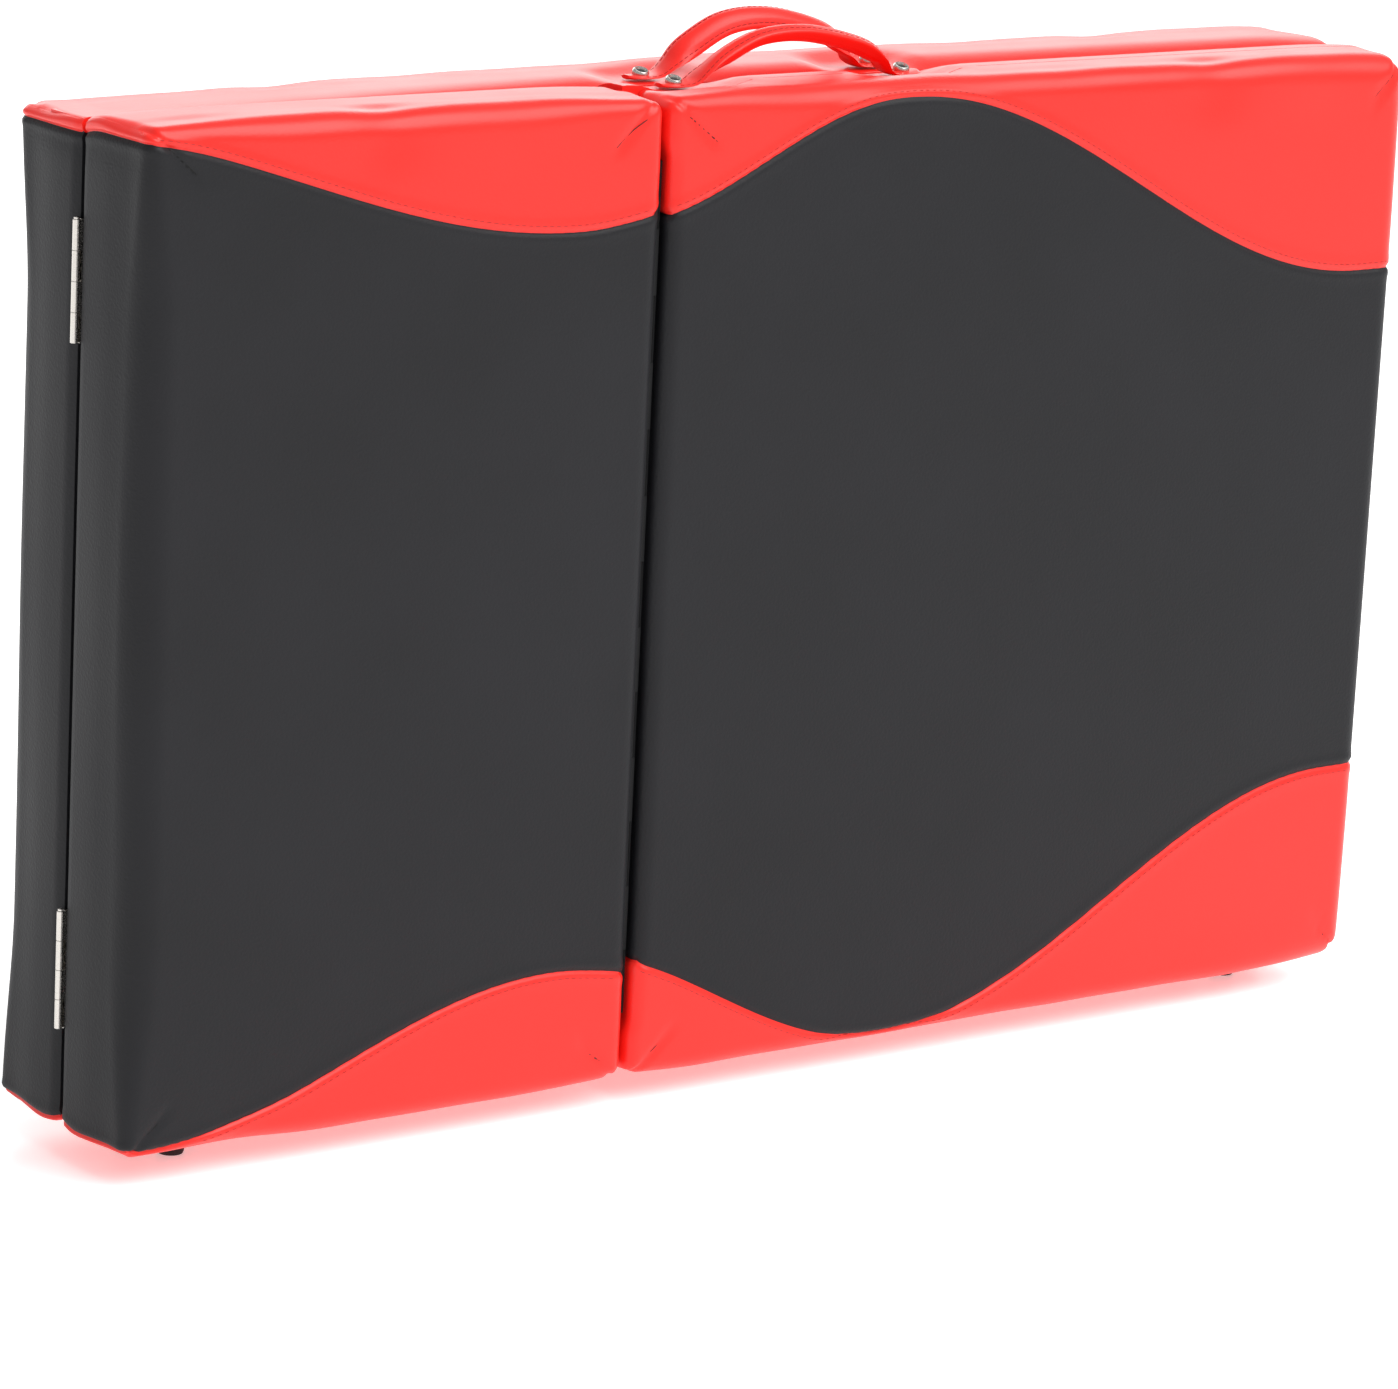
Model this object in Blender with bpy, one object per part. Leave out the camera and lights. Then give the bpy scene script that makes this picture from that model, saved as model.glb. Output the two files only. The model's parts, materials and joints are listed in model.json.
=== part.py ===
"""Folding three-section treatment table, closed like a suitcase and standing on its long edge.

X runs along the case from the main hinge (-X) to the free end (+X), Y through its depth with the
two-cushion half in front (-Y), and Z up. The origin is on the floor under the middle of the case.
All lengths are metres. Each body of the mechanism hangs on an empty that sits on its joint's axis.
"""
import math

import bmesh
import bpy
from mathutils import Matrix, Vector

# ---- Case ------------------------------------------------------------------------------------
WIDTH = 0.930             # folded length of the case, half the open table
HEIGHT = 0.600            # width of the table top
DEPTH = 0.147             # both halves closed
FOOT_HEIGHT = 0.015       # the case stands clear of the floor on rubber feet
GAP = 0.0003              # clearance kept between touching pieces
HALF_CLEARANCE = 0.0020   # from the middle plane to each half's frame
SEAT_LENGTH = 0.345       # fixed cushion beside the main hinge
CUSHION_GAP = 0.010       # slot between the fixed cushion and the backrest
CUSHION_ROUND = 0.018     # round of the cushion edges
CORNER_ROUND = 0.012      # round of the cushion outline's corners
RAIL_INSET = 0.006        # the frame is narrower than the foam on the long sides
END_INSET = 0.001         # and almost flush at the ends
COVER = 0.0015            # synthetic leather with its backing
DECK = 0.0060             # plywood decks
RAIL_DEPTH = 0.0300
RAIL_WIDTH = 0.020

# ---- Main hinges -----------------------------------------------------------------------------
KNUCKLE_R = 0.0023
HINGE_OFFSET = 0.0020     # hinge axis outside the end of the case
PIN_R = 0.0011
HINGE_LENGTH = 0.0705
HINGE_KNUCKLES = 4
HINGE_MID = 0.2013        # hinge middles above and below the middle of the case
LEAF_WIDTH = 0.018
LEAF_THICK = 0.0014

# ---- Backrest --------------------------------------------------------------------------------
BACK_AXIS_DEPTH = 0.0115  # hinge axis below the cushion's face, so the edges roll and don't crush
BACK_HINGE_LENGTH = 0.520
BACK_HINGE_KNUCKLES = 13
BACK_HINGE_R = 0.0026
STRUT_REACH = 0.220       # backrest hinge to strut pivot
STRUT_LENGTH = 0.248
STRUT_LANE = 0.2665       # distance of the struts from the middle of the case
STRUT_Y = 0.0230          # strut pivot from the middle plane
STRUT_THICK = 0.008

# ---- Legs ------------------------------------------------------------------------------------
LEG_AXIS_X = 0.4272
LEG_Y = 0.0170
LEG_R = 0.0125
LEG_BORE_R = 0.0110
EXTENSION_R = 0.0107
LEG_TUBE_END = 0.440      # along the leg, from its pivot
LEG_LENGTH = 0.560
LEG_BORE_START = 0.200
EXTENSION_START = 0.215
JOURNAL_R = 0.0050
JOURNAL_LENGTH = 0.012
BRACE_R = 0.0100
TIP_R = 0.0128
BRACE_AT = 0.400
KNOB_AT = 0.424
LEG_LANES = {"rear": 0.2335, "front": 0.1980}

# ---- Carry handles, feet and latches -----------------------------------------------------------
HANDLE_X = 0.0125
HANDLE_SPAN = 0.170       # between the two screws
HANDLE_Y = 0.0170
HANDLE_RISE = {"rear": 0.038, "front": 0.033}
FOOT_X = 0.403
FOOT_Y = 0.0225
FOOT_R = 0.0092
LATCH_LANE = 0.170        # latches on the free end, above and below the middle
LATCH_AXIS_Y = -0.0200
LATCH_AXIS_RISE = 0.0036
LATCH_HEIGHT = 0.0056

LATCH_REACH = LATCH_HEIGHT - END_INSET + GAP      # latches stand out of the free end
X_LEFT = -(WIDTH + LATCH_REACH) / 2 + (HINGE_OFFSET + KNUCKLE_R) / 2
X_RIGHT = X_LEFT + WIDTH
Z_LOW = FOOT_HEIGHT
Z_TOP = Z_LOW + HEIGHT
Z_MID = Z_LOW + HEIGHT / 2
FACE = DEPTH / 2
FRAME_FACE = HALF_CLEARANCE + RAIL_DEPTH          # decks lie on the rails here
FOAM_BACK = FRAME_FACE + GAP + DECK + GAP
SEAT_END = X_LEFT + SEAT_LENGTH
BACK_START = SEAT_END + CUSHION_GAP
BACK_AXIS_X = SEAT_END + CUSHION_GAP / 2
BACK_AXIS_Y = -(FACE - BACK_AXIS_DEPTH)
HINGE_X = X_LEFT - HINGE_OFFSET
RAIL_EDGE = RAIL_INSET + COVER + GAP              # rail's outer face inside the outline
RAIL_TOP = Z_TOP - RAIL_EDGE
RAIL_BOTTOM = Z_LOW + RAIL_EDGE
TAB_Z = Z_TOP - RAIL_INSET + GAP
LATCH_FLOOR = X_RIGHT - END_INSET + GAP           # latch plates lie on the free end's skin
LATCH_AXIS_X = LATCH_FLOOR + LATCH_AXIS_RISE

COLOURS = {
    "red_leather": ((0.89, 0.10, 0.08), 0.42, 0.0),
    "black_leather": ((0.045, 0.045, 0.050), 0.55, 0.0),
    "foam": ((0.85, 0.80, 0.62), 0.95, 0.0),
    "plywood": ((0.66, 0.48, 0.30), 0.70, 0.0),
    "beech": ((0.74, 0.55, 0.36), 0.60, 0.0),
    "nickel": ((0.72, 0.70, 0.67), 0.25, 1.0),
    "black_steel": ((0.03, 0.03, 0.03), 0.45, 0.6),
    "aluminium": ((0.76, 0.77, 0.78), 0.35, 1.0),
    "rubber": ((0.02, 0.02, 0.02), 0.85, 0.0),
    "plastic": ((0.04, 0.04, 0.04), 0.50, 0.0),
}

empties = {}


def clear_scene():
    for item in list(bpy.data.objects):
        bpy.data.objects.remove(item, do_unlink=True)


def material(name, slot):
    """Each part has a material of its own, named after it."""
    colour, roughness, metallic = COLOURS[slot]
    made = bpy.data.materials.new(name + "_" + slot)
    made.use_nodes = True
    shader = made.node_tree.nodes["Principled BSDF"]
    shader.inputs["Base Color"].default_value = (*colour, 1.0)
    shader.inputs["Roughness"].default_value = roughness
    shader.inputs["Metallic"].default_value = metallic
    made.diffuse_color = (*colour, 1.0)
    return made


def body(name, pivot, parent=None):
    """An empty on the joint's axis that carries the body's parts."""
    empty = bpy.data.objects.new(name + "_pivot", None)
    bpy.context.collection.objects.link(empty)
    empty.empty_display_size = 0.03
    empty["pivot"] = pivot
    if parent:
        empty.parent = empties[parent]
        empty.location = Vector(pivot) - Vector(empties[parent]["pivot"])
    else:
        empty.location = pivot
    empties[name] = empty


def part(name, mesh_data, slot, owner):
    """Turns a bmesh in world coordinates into a named part of the body `owner`."""
    bmesh.ops.remove_doubles(mesh_data, verts=mesh_data.verts, dist=1e-6)
    bmesh.ops.recalc_face_normals(mesh_data, faces=mesh_data.faces)
    pivot = Vector(empties[owner]["pivot"])
    bmesh.ops.translate(mesh_data, verts=mesh_data.verts, vec=-pivot)
    mesh = bpy.data.meshes.new(name)
    mesh_data.to_mesh(mesh)
    mesh_data.free()
    mesh.shade_smooth()
    mesh.set_sharp_from_angle(angle=math.radians(35))
    made = bpy.data.objects.new(name, mesh)
    bpy.context.collection.objects.link(made)
    made.data.materials.append(material(name, slot))
    made.parent = empties[owner]
    return made


def cut(target, cutter_data, operation="DIFFERENCE"):
    """Cuts a hole in, or joins a shape to, a part. The shape is in world coordinates."""
    cutter = part(target.name + "_" + operation.lower(), cutter_data, "plastic", "rear_half")
    cutter.hide_render = True
    cutter.display_type = "WIRE"
    modifier = target.modifiers.new("boolean", "BOOLEAN")
    modifier.operation = operation
    modifier.solver = "EXACT"
    modifier.object = cutter


# ---- Shapes ------------------------------------------------------------------------------------
def add_box(shape, low, high, edge=0.0):
    """A box between two corners, in any order, with its edges eased by `edge`."""
    low, high = Vector(low), Vector(high)
    size = high - low
    centre = (low + high) / 2
    place = Matrix.Translation(centre) @ Matrix.Diagonal((abs(size.x), abs(size.y), abs(size.z), 1))
    made = bmesh.ops.create_cube(shape, size=1.0, matrix=place)
    if edge > 0:
        edges = list({one for vert in made["verts"] for one in vert.link_edges})
        bmesh.ops.bevel(shape, geom=edges, offset=edge, segments=1, affect="EDGES", profile=0.5)


def add_turned(shape, profile, start, direction, sides=20):
    """Turns (distance along the axis, radius) points round an axis. The profile starts and ends
    on the axis for a solid, or comes back to its first point for a ring."""
    turn = Vector(direction).to_track_quat("Z", "Y").to_matrix()
    start = Vector(start)
    loops = []
    for along, radius in profile:
        if radius == 0:
            loops.append([shape.verts.new(start + turn @ Vector((0, 0, along)))])
            continue
        loop = []
        for step in range(sides):
            angle = 2 * math.pi * step / sides
            spot = Vector((radius * math.cos(angle), radius * math.sin(angle), along))
            loop.append(shape.verts.new(start + turn @ spot))
        loops.append(loop)
    if profile[0][1] > 0:
        loops.append(loops[0])
    for first, second in zip(loops, loops[1:]):
        for step in range(sides):
            after = (step + 1) % sides
            if len(first) == 1:
                shape.faces.new((first[0], second[step], second[after]))
            elif len(second) == 1:
                shape.faces.new((first[step], second[0], first[after]))
            else:
                shape.faces.new((first[step], second[step], second[after], first[after]))


def solid_rod(radius, length):
    return [(0, 0), (0, radius), (length, radius), (length, 0)]


def pipe(outer, inner, length):
    return [(0, outer), (length, outer), (length, inner), (0, inner)]


def outline(depth, x0, x1, z0, z1, radius, steps=3):
    """A rounded rectangle in the plane at this depth."""
    points = []
    corners = ((x1, z1, 0), (x0, z1, 90), (x0, z0, 180), (x1, z0, 270))
    for x, z, first in corners:
        cx = x - math.copysign(radius, x - (x0 + x1) / 2)
        cz = z - math.copysign(radius, z - (z0 + z1) / 2)
        for step in range(steps + 1):
            angle = math.radians(first + 90 * step / steps)
            points.append(Vector((cx + radius * math.cos(angle), depth,
                                  cz + radius * math.sin(angle))))
    return points


def add_loft(shape, loops):
    """Skins a row of loops and closes both ends."""
    rows = [[shape.verts.new(point) for point in loop] for loop in loops]
    count = len(rows[0])
    for first, second in zip(rows, rows[1:]):
        for step in range(count):
            after = (step + 1) % count
            shape.faces.new((first[step], first[after], second[after], second[step]))
    shape.faces.new(rows[0])
    shape.faces.new(list(reversed(rows[-1])))


def pad_loops(x0, x1, side, back, shrink):
    """Loops of an upholstered pad from its back edge to its face. `shrink` moves every wall
    inwards, for the foam or for the inner skin of the cover."""
    square = 0.0008
    if back < FRAME_FACE:
        stations = [(back, RAIL_INSET, END_INSET, square), (FRAME_FACE, RAIL_INSET, END_INSET, square),
                    (FOAM_BACK + 0.006, 0.0, 0.0, CORNER_ROUND)]
    elif back < FOAM_BACK:
        stations = [(back, 0.0015, END_INSET, CORNER_ROUND / 2), (back + 0.008, 0.0, 0.0, CORNER_ROUND)]
    else:
        stations = [(back, 0.0035, 0.0020, CORNER_ROUND + 0.001), (back + 0.010, 0.0, 0.0, CORNER_ROUND)]
    round_steps = 4
    for step in range(round_steps + 1):
        angle = math.radians(90 * step / round_steps)
        inset = (CUSHION_ROUND - shrink) * (1 - math.cos(angle))
        reach = FACE - CUSHION_ROUND + (CUSHION_ROUND - shrink) * math.sin(angle)
        stations.append((reach, inset, inset, max(CORNER_ROUND - inset, 0.003)))
    loops = []
    for depth, z_inset, x_inset, corner in stations:
        x_in = x_inset + shrink
        z_in = z_inset + shrink
        loops.append(outline(side * depth, x0 + x_in, x1 - x_in, Z_LOW + z_in, Z_TOP - z_in, corner))
    return loops


def add_cover(name, x0, x1, side, back, slot, owner):
    """The stitched cover: a thin tray that is open where it is stapled to the frame."""
    shape = bmesh.new()
    outer = pad_loops(x0, x1, side, back, 0.0)
    inner = pad_loops(x0, x1, side, back, COVER)
    add_loft(shape, list(reversed(inner)) + outer)
    return part(name, shape, slot, owner)


def add_foam(name, x0, x1, side, owner):
    shape = bmesh.new()
    add_loft(shape, pad_loops(x0, x1, side, FOAM_BACK, COVER + GAP))
    return part(name, shape, "foam", owner)


# ---- The two halves ----------------------------------------------------------------------------
def add_block(name, low, high, slot, owner, edge=0.0):
    shape = bmesh.new()
    add_box(shape, low, high, edge)
    return part(name, shape, slot, owner)


def add_frame(half, side):
    """Four beech rails round the inside of a half."""
    owner = half + "_half"
    near = side * HALF_CLEARANCE
    far = side * FRAME_FACE
    left = X_LEFT + END_INSET + COVER + GAP
    right = X_RIGHT - END_INSET - COVER - GAP
    for level, low, high in (("top", RAIL_TOP - RAIL_WIDTH, RAIL_TOP),
                             ("bottom", RAIL_BOTTOM, RAIL_BOTTOM + RAIL_WIDTH)):
        rail = add_block(f"{half}_{level}_rail", (left, near, low), (right, far, high), "beech", owner)
        bore = bmesh.new()
        inward = -1 if level == "top" else 1
        mouth = low if level == "top" else high
        add_turned(bore, solid_rod(JOURNAL_R + GAP, JOURNAL_LENGTH + 0.011),
                   (LEG_AXIS_X, side * LEG_Y, mouth + inward * 0.010), (0, 0, -inward), 20)
        cut(rail, bore)
    low = RAIL_BOTTOM + RAIL_WIDTH + GAP
    high = RAIL_TOP - RAIL_WIDTH - GAP
    for end, x0, x1 in (("hinge_end", left, left + RAIL_WIDTH),
                        ("free_end", right - RAIL_WIDTH, right)):
        add_block(f"{half}_{end}_rail", (x0, near, low), (x1, far, high), "beech", owner)


def add_deck(name, x0, x1, side, owner):
    inset = RAIL_EDGE + 0.001
    low = (x0, side * (FRAME_FACE + GAP), Z_LOW + inset)
    high = (x1, side * (FRAME_FACE + GAP + DECK), Z_TOP - inset)
    return add_block(name, low, high, "plywood", owner)


def add_halves():
    end_inset = END_INSET + COVER + 0.001
    add_cover("rear_cover", X_LEFT, X_RIGHT, 1, HALF_CLEARANCE, "black_leather", "rear_half")
    add_foam("rear_foam", X_LEFT, X_RIGHT, 1, "rear_half")
    add_deck("rear_deck", X_LEFT + end_inset, X_RIGHT - end_inset, 1, "rear_half")
    add_frame("rear", 1)
    add_front_cover()
    add_foam("seat_foam", X_LEFT, SEAT_END, -1, "front_half")
    add_deck("seat_deck", X_LEFT + end_inset, SEAT_END - end_inset, -1, "front_half")
    add_frame("front", -1)
    add_cover("backrest_cover", BACK_START, X_RIGHT, -1, FRAME_FACE + 0.001,
              "black_leather", "backrest")
    add_foam("backrest_foam", BACK_START, X_RIGHT, -1, "backrest")
    add_deck("backrest_board", BACK_START + end_inset, X_RIGHT - end_inset, -1, "backrest")


def add_front_cover():
    """The fixed cushion's cover, with a notch in each long side where the rails run on."""
    cover = add_cover("seat_cover", X_LEFT, SEAT_END, -1, HALF_CLEARANCE, "black_leather",
                      "front_half")
    window = bmesh.new()
    add_box(window, (SEAT_END - 0.010, 0.001, RAIL_BOTTOM - GAP),
            (SEAT_END + 0.010, -FRAME_FACE - GAP, RAIL_TOP + GAP))
    cut(cover, window)


# ---- Main hinges -------------------------------------------------------------------------------
def add_main_hinge(level, middle):
    """A butt hinge with two knuckles on each leaf. The pin is staked in the rear leaf."""
    pitch = HINGE_LENGTH / HINGE_KNUCKLES
    low = middle - HINGE_LENGTH / 2
    plate_x = HINGE_X + KNUCKLE_R + GAP
    for half, side, first in (("rear", 1, 0), ("front", -1, 1)):
        inner = side * GAP
        outer = side * (GAP + LEAF_THICK)
        plate, barrel, webs = (bmesh.new() for _ in range(3))
        add_box(plate, (plate_x, inner, low), (plate_x + LEAF_WIDTH, outer, low + HINGE_LENGTH))
        for index in range(first, HINGE_KNUCKLES, 2):
            start = low + index * pitch + GAP / 2
            add_turned(barrel, solid_rod(KNUCKLE_R, pitch - GAP), (HINGE_X, 0, start), (0, 0, 1), 16)
            add_box(webs, (HINGE_X + PIN_R + GAP, inner, start),
                    (plate_x + 0.001, outer, start + pitch - GAP))
        leaf = part(f"{level}_hinge_{half}_leaf", plate, "nickel", half + "_half")
        cut(leaf, barrel, "UNION")
        cut(leaf, webs, "UNION")
        rod = bmesh.new()
        if half == "rear":
            head = KNUCKLE_R * 0.75
            far = HINGE_LENGTH + GAP / 2
            rod_profile = [(0.0005, 0), (0.0005, PIN_R), (far, PIN_R), (far, head),
                           (far + 0.0010, head), (far + 0.0014, head * 0.5), (far + 0.0014, 0)]
            add_turned(rod, rod_profile, (HINGE_X, 0, low), (0, 0, 1), 16)
            cut(leaf, rod, "UNION")
        else:
            add_turned(rod, solid_rod(PIN_R + GAP, HINGE_LENGTH + 0.02), (HINGE_X, 0, low - 0.01),
                       (0, 0, 1), 16)
            cut(leaf, rod)


# ---- Backrest hinge, struts and ratchets -------------------------------------------------------
def add_backrest_hinge():
    """A continuous hinge in the slot. Its leaves stand against the ends of the two panels and
    turn in under the decks, and the knuckles sit near the cushion's face."""
    plate = 0.0012
    wall = CUSHION_GAP / 2 - GAP
    foot = 0.016
    low = Z_MID - BACK_HINGE_LENGTH / 2
    pitch = BACK_HINGE_LENGTH / BACK_HINGE_KNUCKLES
    back = -(FRAME_FACE - 0.0010)
    for name, sign, first in (("seat", -1, 0), ("backrest", 1, 1)):
        owner = "front_half" if name == "seat" else "backrest"
        face = BACK_AXIS_X + sign * wall
        flange, barrel, feet = (bmesh.new() for _ in range(3))
        add_box(flange, (face - sign * plate, BACK_AXIS_Y, low), (face, back, low + BACK_HINGE_LENGTH))
        add_box(feet, (face - sign * plate, back - 0.0007, low),
                (face + sign * foot, back + 0.0008, low + BACK_HINGE_LENGTH))
        for index in range(first, BACK_HINGE_KNUCKLES, 2):
            start = low + index * pitch + GAP / 2
            add_turned(barrel, solid_rod(BACK_HINGE_R, pitch - GAP), (BACK_AXIS_X, BACK_AXIS_Y, start),
                       (0, 0, 1), 12)
        webs = bmesh.new()
        for index in range(first, BACK_HINGE_KNUCKLES, 2):
            start = low + index * pitch + GAP / 2
            add_box(webs, (BACK_AXIS_X + sign * BACK_HINGE_R * 0.6, BACK_AXIS_Y - 0.001, start),
                    (face - sign * plate / 2, BACK_AXIS_Y + 0.0013, start + pitch - GAP))
        leaf = part(f"backrest_hinge_{name}_leaf", flange, "black_steel", owner)
        cut(leaf, feet, "UNION")
        cut(leaf, barrel, "UNION")
        cut(leaf, webs, "UNION")
        rod = bmesh.new()
        if name == "seat":
            add_turned(rod, solid_rod(PIN_R, BACK_HINGE_LENGTH - 0.001),
                       (BACK_AXIS_X, BACK_AXIS_Y, low + 0.0005), (0, 0, 1), 12)
            cut(leaf, rod, "UNION")
        else:
            add_turned(rod, solid_rod(PIN_R + GAP, BACK_HINGE_LENGTH + 0.02),
                       (BACK_AXIS_X, BACK_AXIS_Y, low - 0.01), (0, 0, 1), 12)
            cut(leaf, rod)


def add_strut(end, sign):
    """A flat stay behind the backrest with its bracket. Its foot runs along a notched strip."""
    pivot_x = BACK_AXIS_X + STRUT_REACH
    foot_x = pivot_x + STRUT_LENGTH
    half = STRUT_THICK / 2
    lane_half = 0.0035
    z = Z_MID + sign * STRUT_LANE
    eye, bar, foot, hole = (bmesh.new() for _ in range(4))
    add_turned(eye, solid_rod(half, 2 * lane_half), (pivot_x, -STRUT_Y, z - lane_half), (0, 0, 1), 16)
    add_box(bar, (pivot_x, -STRUT_Y - half * 0.7, z - lane_half + 0.0005),
            (foot_x, -STRUT_Y + half * 0.7, z + lane_half - 0.0005))
    add_turned(foot, solid_rod(half * 0.95, 2 * lane_half), (foot_x, -STRUT_Y, z - lane_half),
               (0, 0, 1), 16)
    add_turned(hole, solid_rod(0.0018, 0.02), (pivot_x, -STRUT_Y, z - 0.01), (0, 0, 1), 12)
    strut = part(f"backrest_strut_{end}", eye, "nickel", "struts")
    cut(strut, bar, "UNION")
    cut(strut, foot, "UNION")
    cut(strut, hole)
    back = -(FRAME_FACE - 0.0003)
    cheek = z - sign * (lane_half + GAP)
    plate, pin = (bmesh.new() for _ in range(2))
    add_box(plate, (pivot_x - 0.010, back, cheek), (pivot_x + 0.010, -STRUT_Y + 0.003, cheek - sign * 0.0022))
    add_turned(pin, solid_rod(0.0015, 2 * lane_half + 0.0012), (pivot_x, -STRUT_Y, cheek - sign * 0.001),
               (0, 0, sign), 12)
    bracket = part(f"strut_bracket_{end}", plate, "nickel", "backrest")
    cut(bracket, pin, "UNION")
    add_ratchet(end, sign, foot_x)


def add_ratchet(end, sign, foot_x):
    """A notched steel strip along the rail, under the strut's foot."""
    base = -(HALF_CLEARANCE + 0.0002)
    strip = base - 0.0033
    tooth_pitch = 0.034
    tooth_height = 0.0025
    first = BACK_AXIS_X + 0.195
    z_in = Z_MID + sign * (STRUT_LANE - 0.0035)
    z_out = RAIL_TOP - RAIL_WIDTH - GAP if sign > 0 else RAIL_BOTTOM + RAIL_WIDTH + GAP
    profile = [(first - 0.02, base), (first - 0.02, strip)]
    for index in range(int((foot_x - first) / tooth_pitch)):
        x = first + index * tooth_pitch
        profile += [(x, strip), (x + 0.001, strip - tooth_height), (x + 0.010, strip)]
    profile += [(foot_x + 0.008, strip), (foot_x + 0.008, base)]
    shape = bmesh.new()
    add_loft(shape, [[Vector((x, y, z)) for x, y in profile] for z in (z_in, z_out)])
    part(f"ratchet_{end}", shape, "nickel", "front_half")


# ---- Legs --------------------------------------------------------------------------------------
def add_legs(half, side):
    """A welded leg frame that lies in its half. It turns in the long rails near the free end and
    points to the main hinge."""
    owner = half + "_legs"
    y = side * LEG_Y
    lane = LEG_LANES[half]
    bar, legs, brace, bores = (bmesh.new() for _ in range(4))
    shoulder = RAIL_TOP - RAIL_WIDTH - 2 * GAP - Z_MID
    end_of_bar = shoulder + JOURNAL_LENGTH
    profile = [(-end_of_bar, 0), (-end_of_bar, JOURNAL_R), (-shoulder, JOURNAL_R), (-shoulder, LEG_R),
               (shoulder, LEG_R), (shoulder, JOURNAL_R), (end_of_bar, JOURNAL_R), (end_of_bar, 0)]
    add_turned(bar, profile, (LEG_AXIS_X, y, Z_MID), (0, 0, 1), 20)
    add_turned(brace, solid_rod(BRACE_R, 2 * lane), (LEG_AXIS_X - BRACE_AT, y, Z_MID - lane),
               (0, 0, 1), 16)
    for sign in (-1, 1):
        z = Z_MID + sign * lane
        add_turned(legs, solid_rod(LEG_R - 0.0001, LEG_TUBE_END), (LEG_AXIS_X, y, z), (-1, 0, 0), 20)
        add_turned(bores, solid_rod(LEG_BORE_R, LEG_TUBE_END), (LEG_AXIS_X - LEG_BORE_START, y, z),
                   (-1, 0, 0), 20)
    frame = part(f"{half}_leg_frame", bar, "aluminium", owner)
    cut(frame, legs, "UNION")
    cut(frame, brace, "UNION")
    collars, holes = (bmesh.new() for _ in range(2))
    for sign in (-1, 1):
        z = Z_MID + sign * lane
        add_box(collars, (LEG_AXIS_X - KNOB_AT + 0.011, y - 0.0075, z - sign * (LEG_BORE_R - 0.0020)),
                (LEG_AXIS_X - KNOB_AT - 0.011, y + 0.0075, z - sign * (LEG_R + 0.0030)))
        add_turned(holes, solid_rod(0.0034, 0.0100), (LEG_AXIS_X - KNOB_AT, y, z - sign * 0.0070),
                   (0, 0, -sign), 14)
    cut(frame, collars, "UNION")
    cut(frame, holes)
    cut(frame, bores)
    for end, sign in (("low", -1), ("high", 1)):
        z = Z_MID + sign * lane
        add_extension(half, end, z, y)
        add_knob(half, end, sign, z, y)


def add_extension(half, end, z, y):
    """The sliding lower leg with its rubber tip."""
    owner = f"{half}_extension_{end}"
    inner = bmesh.new()
    tip_start = LEG_LENGTH - 0.024
    add_turned(inner, pipe(EXTENSION_R, EXTENSION_R - 0.0015, LEG_LENGTH - 0.004 - EXTENSION_START),
               (LEG_AXIS_X - EXTENSION_START, y, z), (-1, 0, 0), 20)
    part(f"{half}_leg_extension_{end}", inner, "aluminium", owner)
    tip = bmesh.new()
    bore = EXTENSION_R + GAP
    depth = LEG_LENGTH - tip_start
    floor = depth - 0.0037
    profile = [(floor, 0), (floor, bore), (0, bore), (0, TIP_R - 0.001), (0.002, TIP_R),
               (depth - 0.002, TIP_R), (depth, TIP_R - 0.0012), (depth, 0)]
    add_turned(tip, profile, (LEG_AXIS_X - tip_start, y, z), (-1, 0, 0), 20)
    part(f"{half}_leg_tip_{end}", tip, "rubber", owner)


def add_knob(half, end, sign, z, y):
    """A star knob on a screw that clamps the extension."""
    shape = bmesh.new()
    x = LEG_AXIS_X - KNOB_AT
    face = z - sign * (LEG_R + 0.0033)
    lobes = 6
    points = []
    for step in range(lobes * 4):
        angle = 2 * math.pi * step / (lobes * 4)
        radius = 0.0110 + 0.0012 * math.cos(lobes * angle)
        points.append((radius * math.cos(angle), radius * math.sin(angle)))
    loops = []
    for along, scale in ((0, 0.92), (0.001, 1.0), (0.008, 1.0), (0.0095, 0.88)):
        loops.append([Vector((x + px * scale, y + py * scale, face - sign * along))
                      for px, py in points])
    add_loft(shape, loops)
    knob = part(f"{half}_knob_{end}", shape, "plastic", f"{half}_knob_{end}")
    screw = bmesh.new()
    add_turned(screw, solid_rod(0.0030, 0.0058), (x, y, face - sign * 0.001), (0, 0, sign), 16)
    cut(knob, screw, "UNION")


# ---- Handles, feet and latches -----------------------------------------------------------------
def handle_path(half):
    """Middle line of a handle: a flat tab, a steep neck, a low arch and the other tab."""
    rise = HANDLE_RISE[half]
    reach = HANDLE_SPAN / 2
    tab = 0.0022
    knots = [(-reach - 0.011, tab), (-reach + 0.009, tab), (-reach + 0.020, tab + 0.006),
             (-reach + 0.034, rise * 0.55), (-reach * 0.28, rise * 0.95), (reach * 0.12, rise),
             (reach * 0.55, rise * 0.72), (reach - 0.020, tab + 0.009), (reach - 0.010, tab),
             (reach + 0.011, tab)]
    path = []
    for index in range(len(knots) - 1):
        before = Vector(knots[max(index - 1, 0)])
        here = Vector(knots[index])
        there = Vector(knots[index + 1])
        after = Vector(knots[min(index + 2, len(knots) - 1)])
        for step in range(3):
            t = step / 3
            point = 0.5 * ((2 * here) + (there - before) * t
                           + (2 * before - 5 * here + 4 * there - after) * t * t
                           + (3 * here - before - 3 * there + after) * t * t * t)
            path.append(point)
    path.append(Vector(knots[-1]))
    return path


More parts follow.
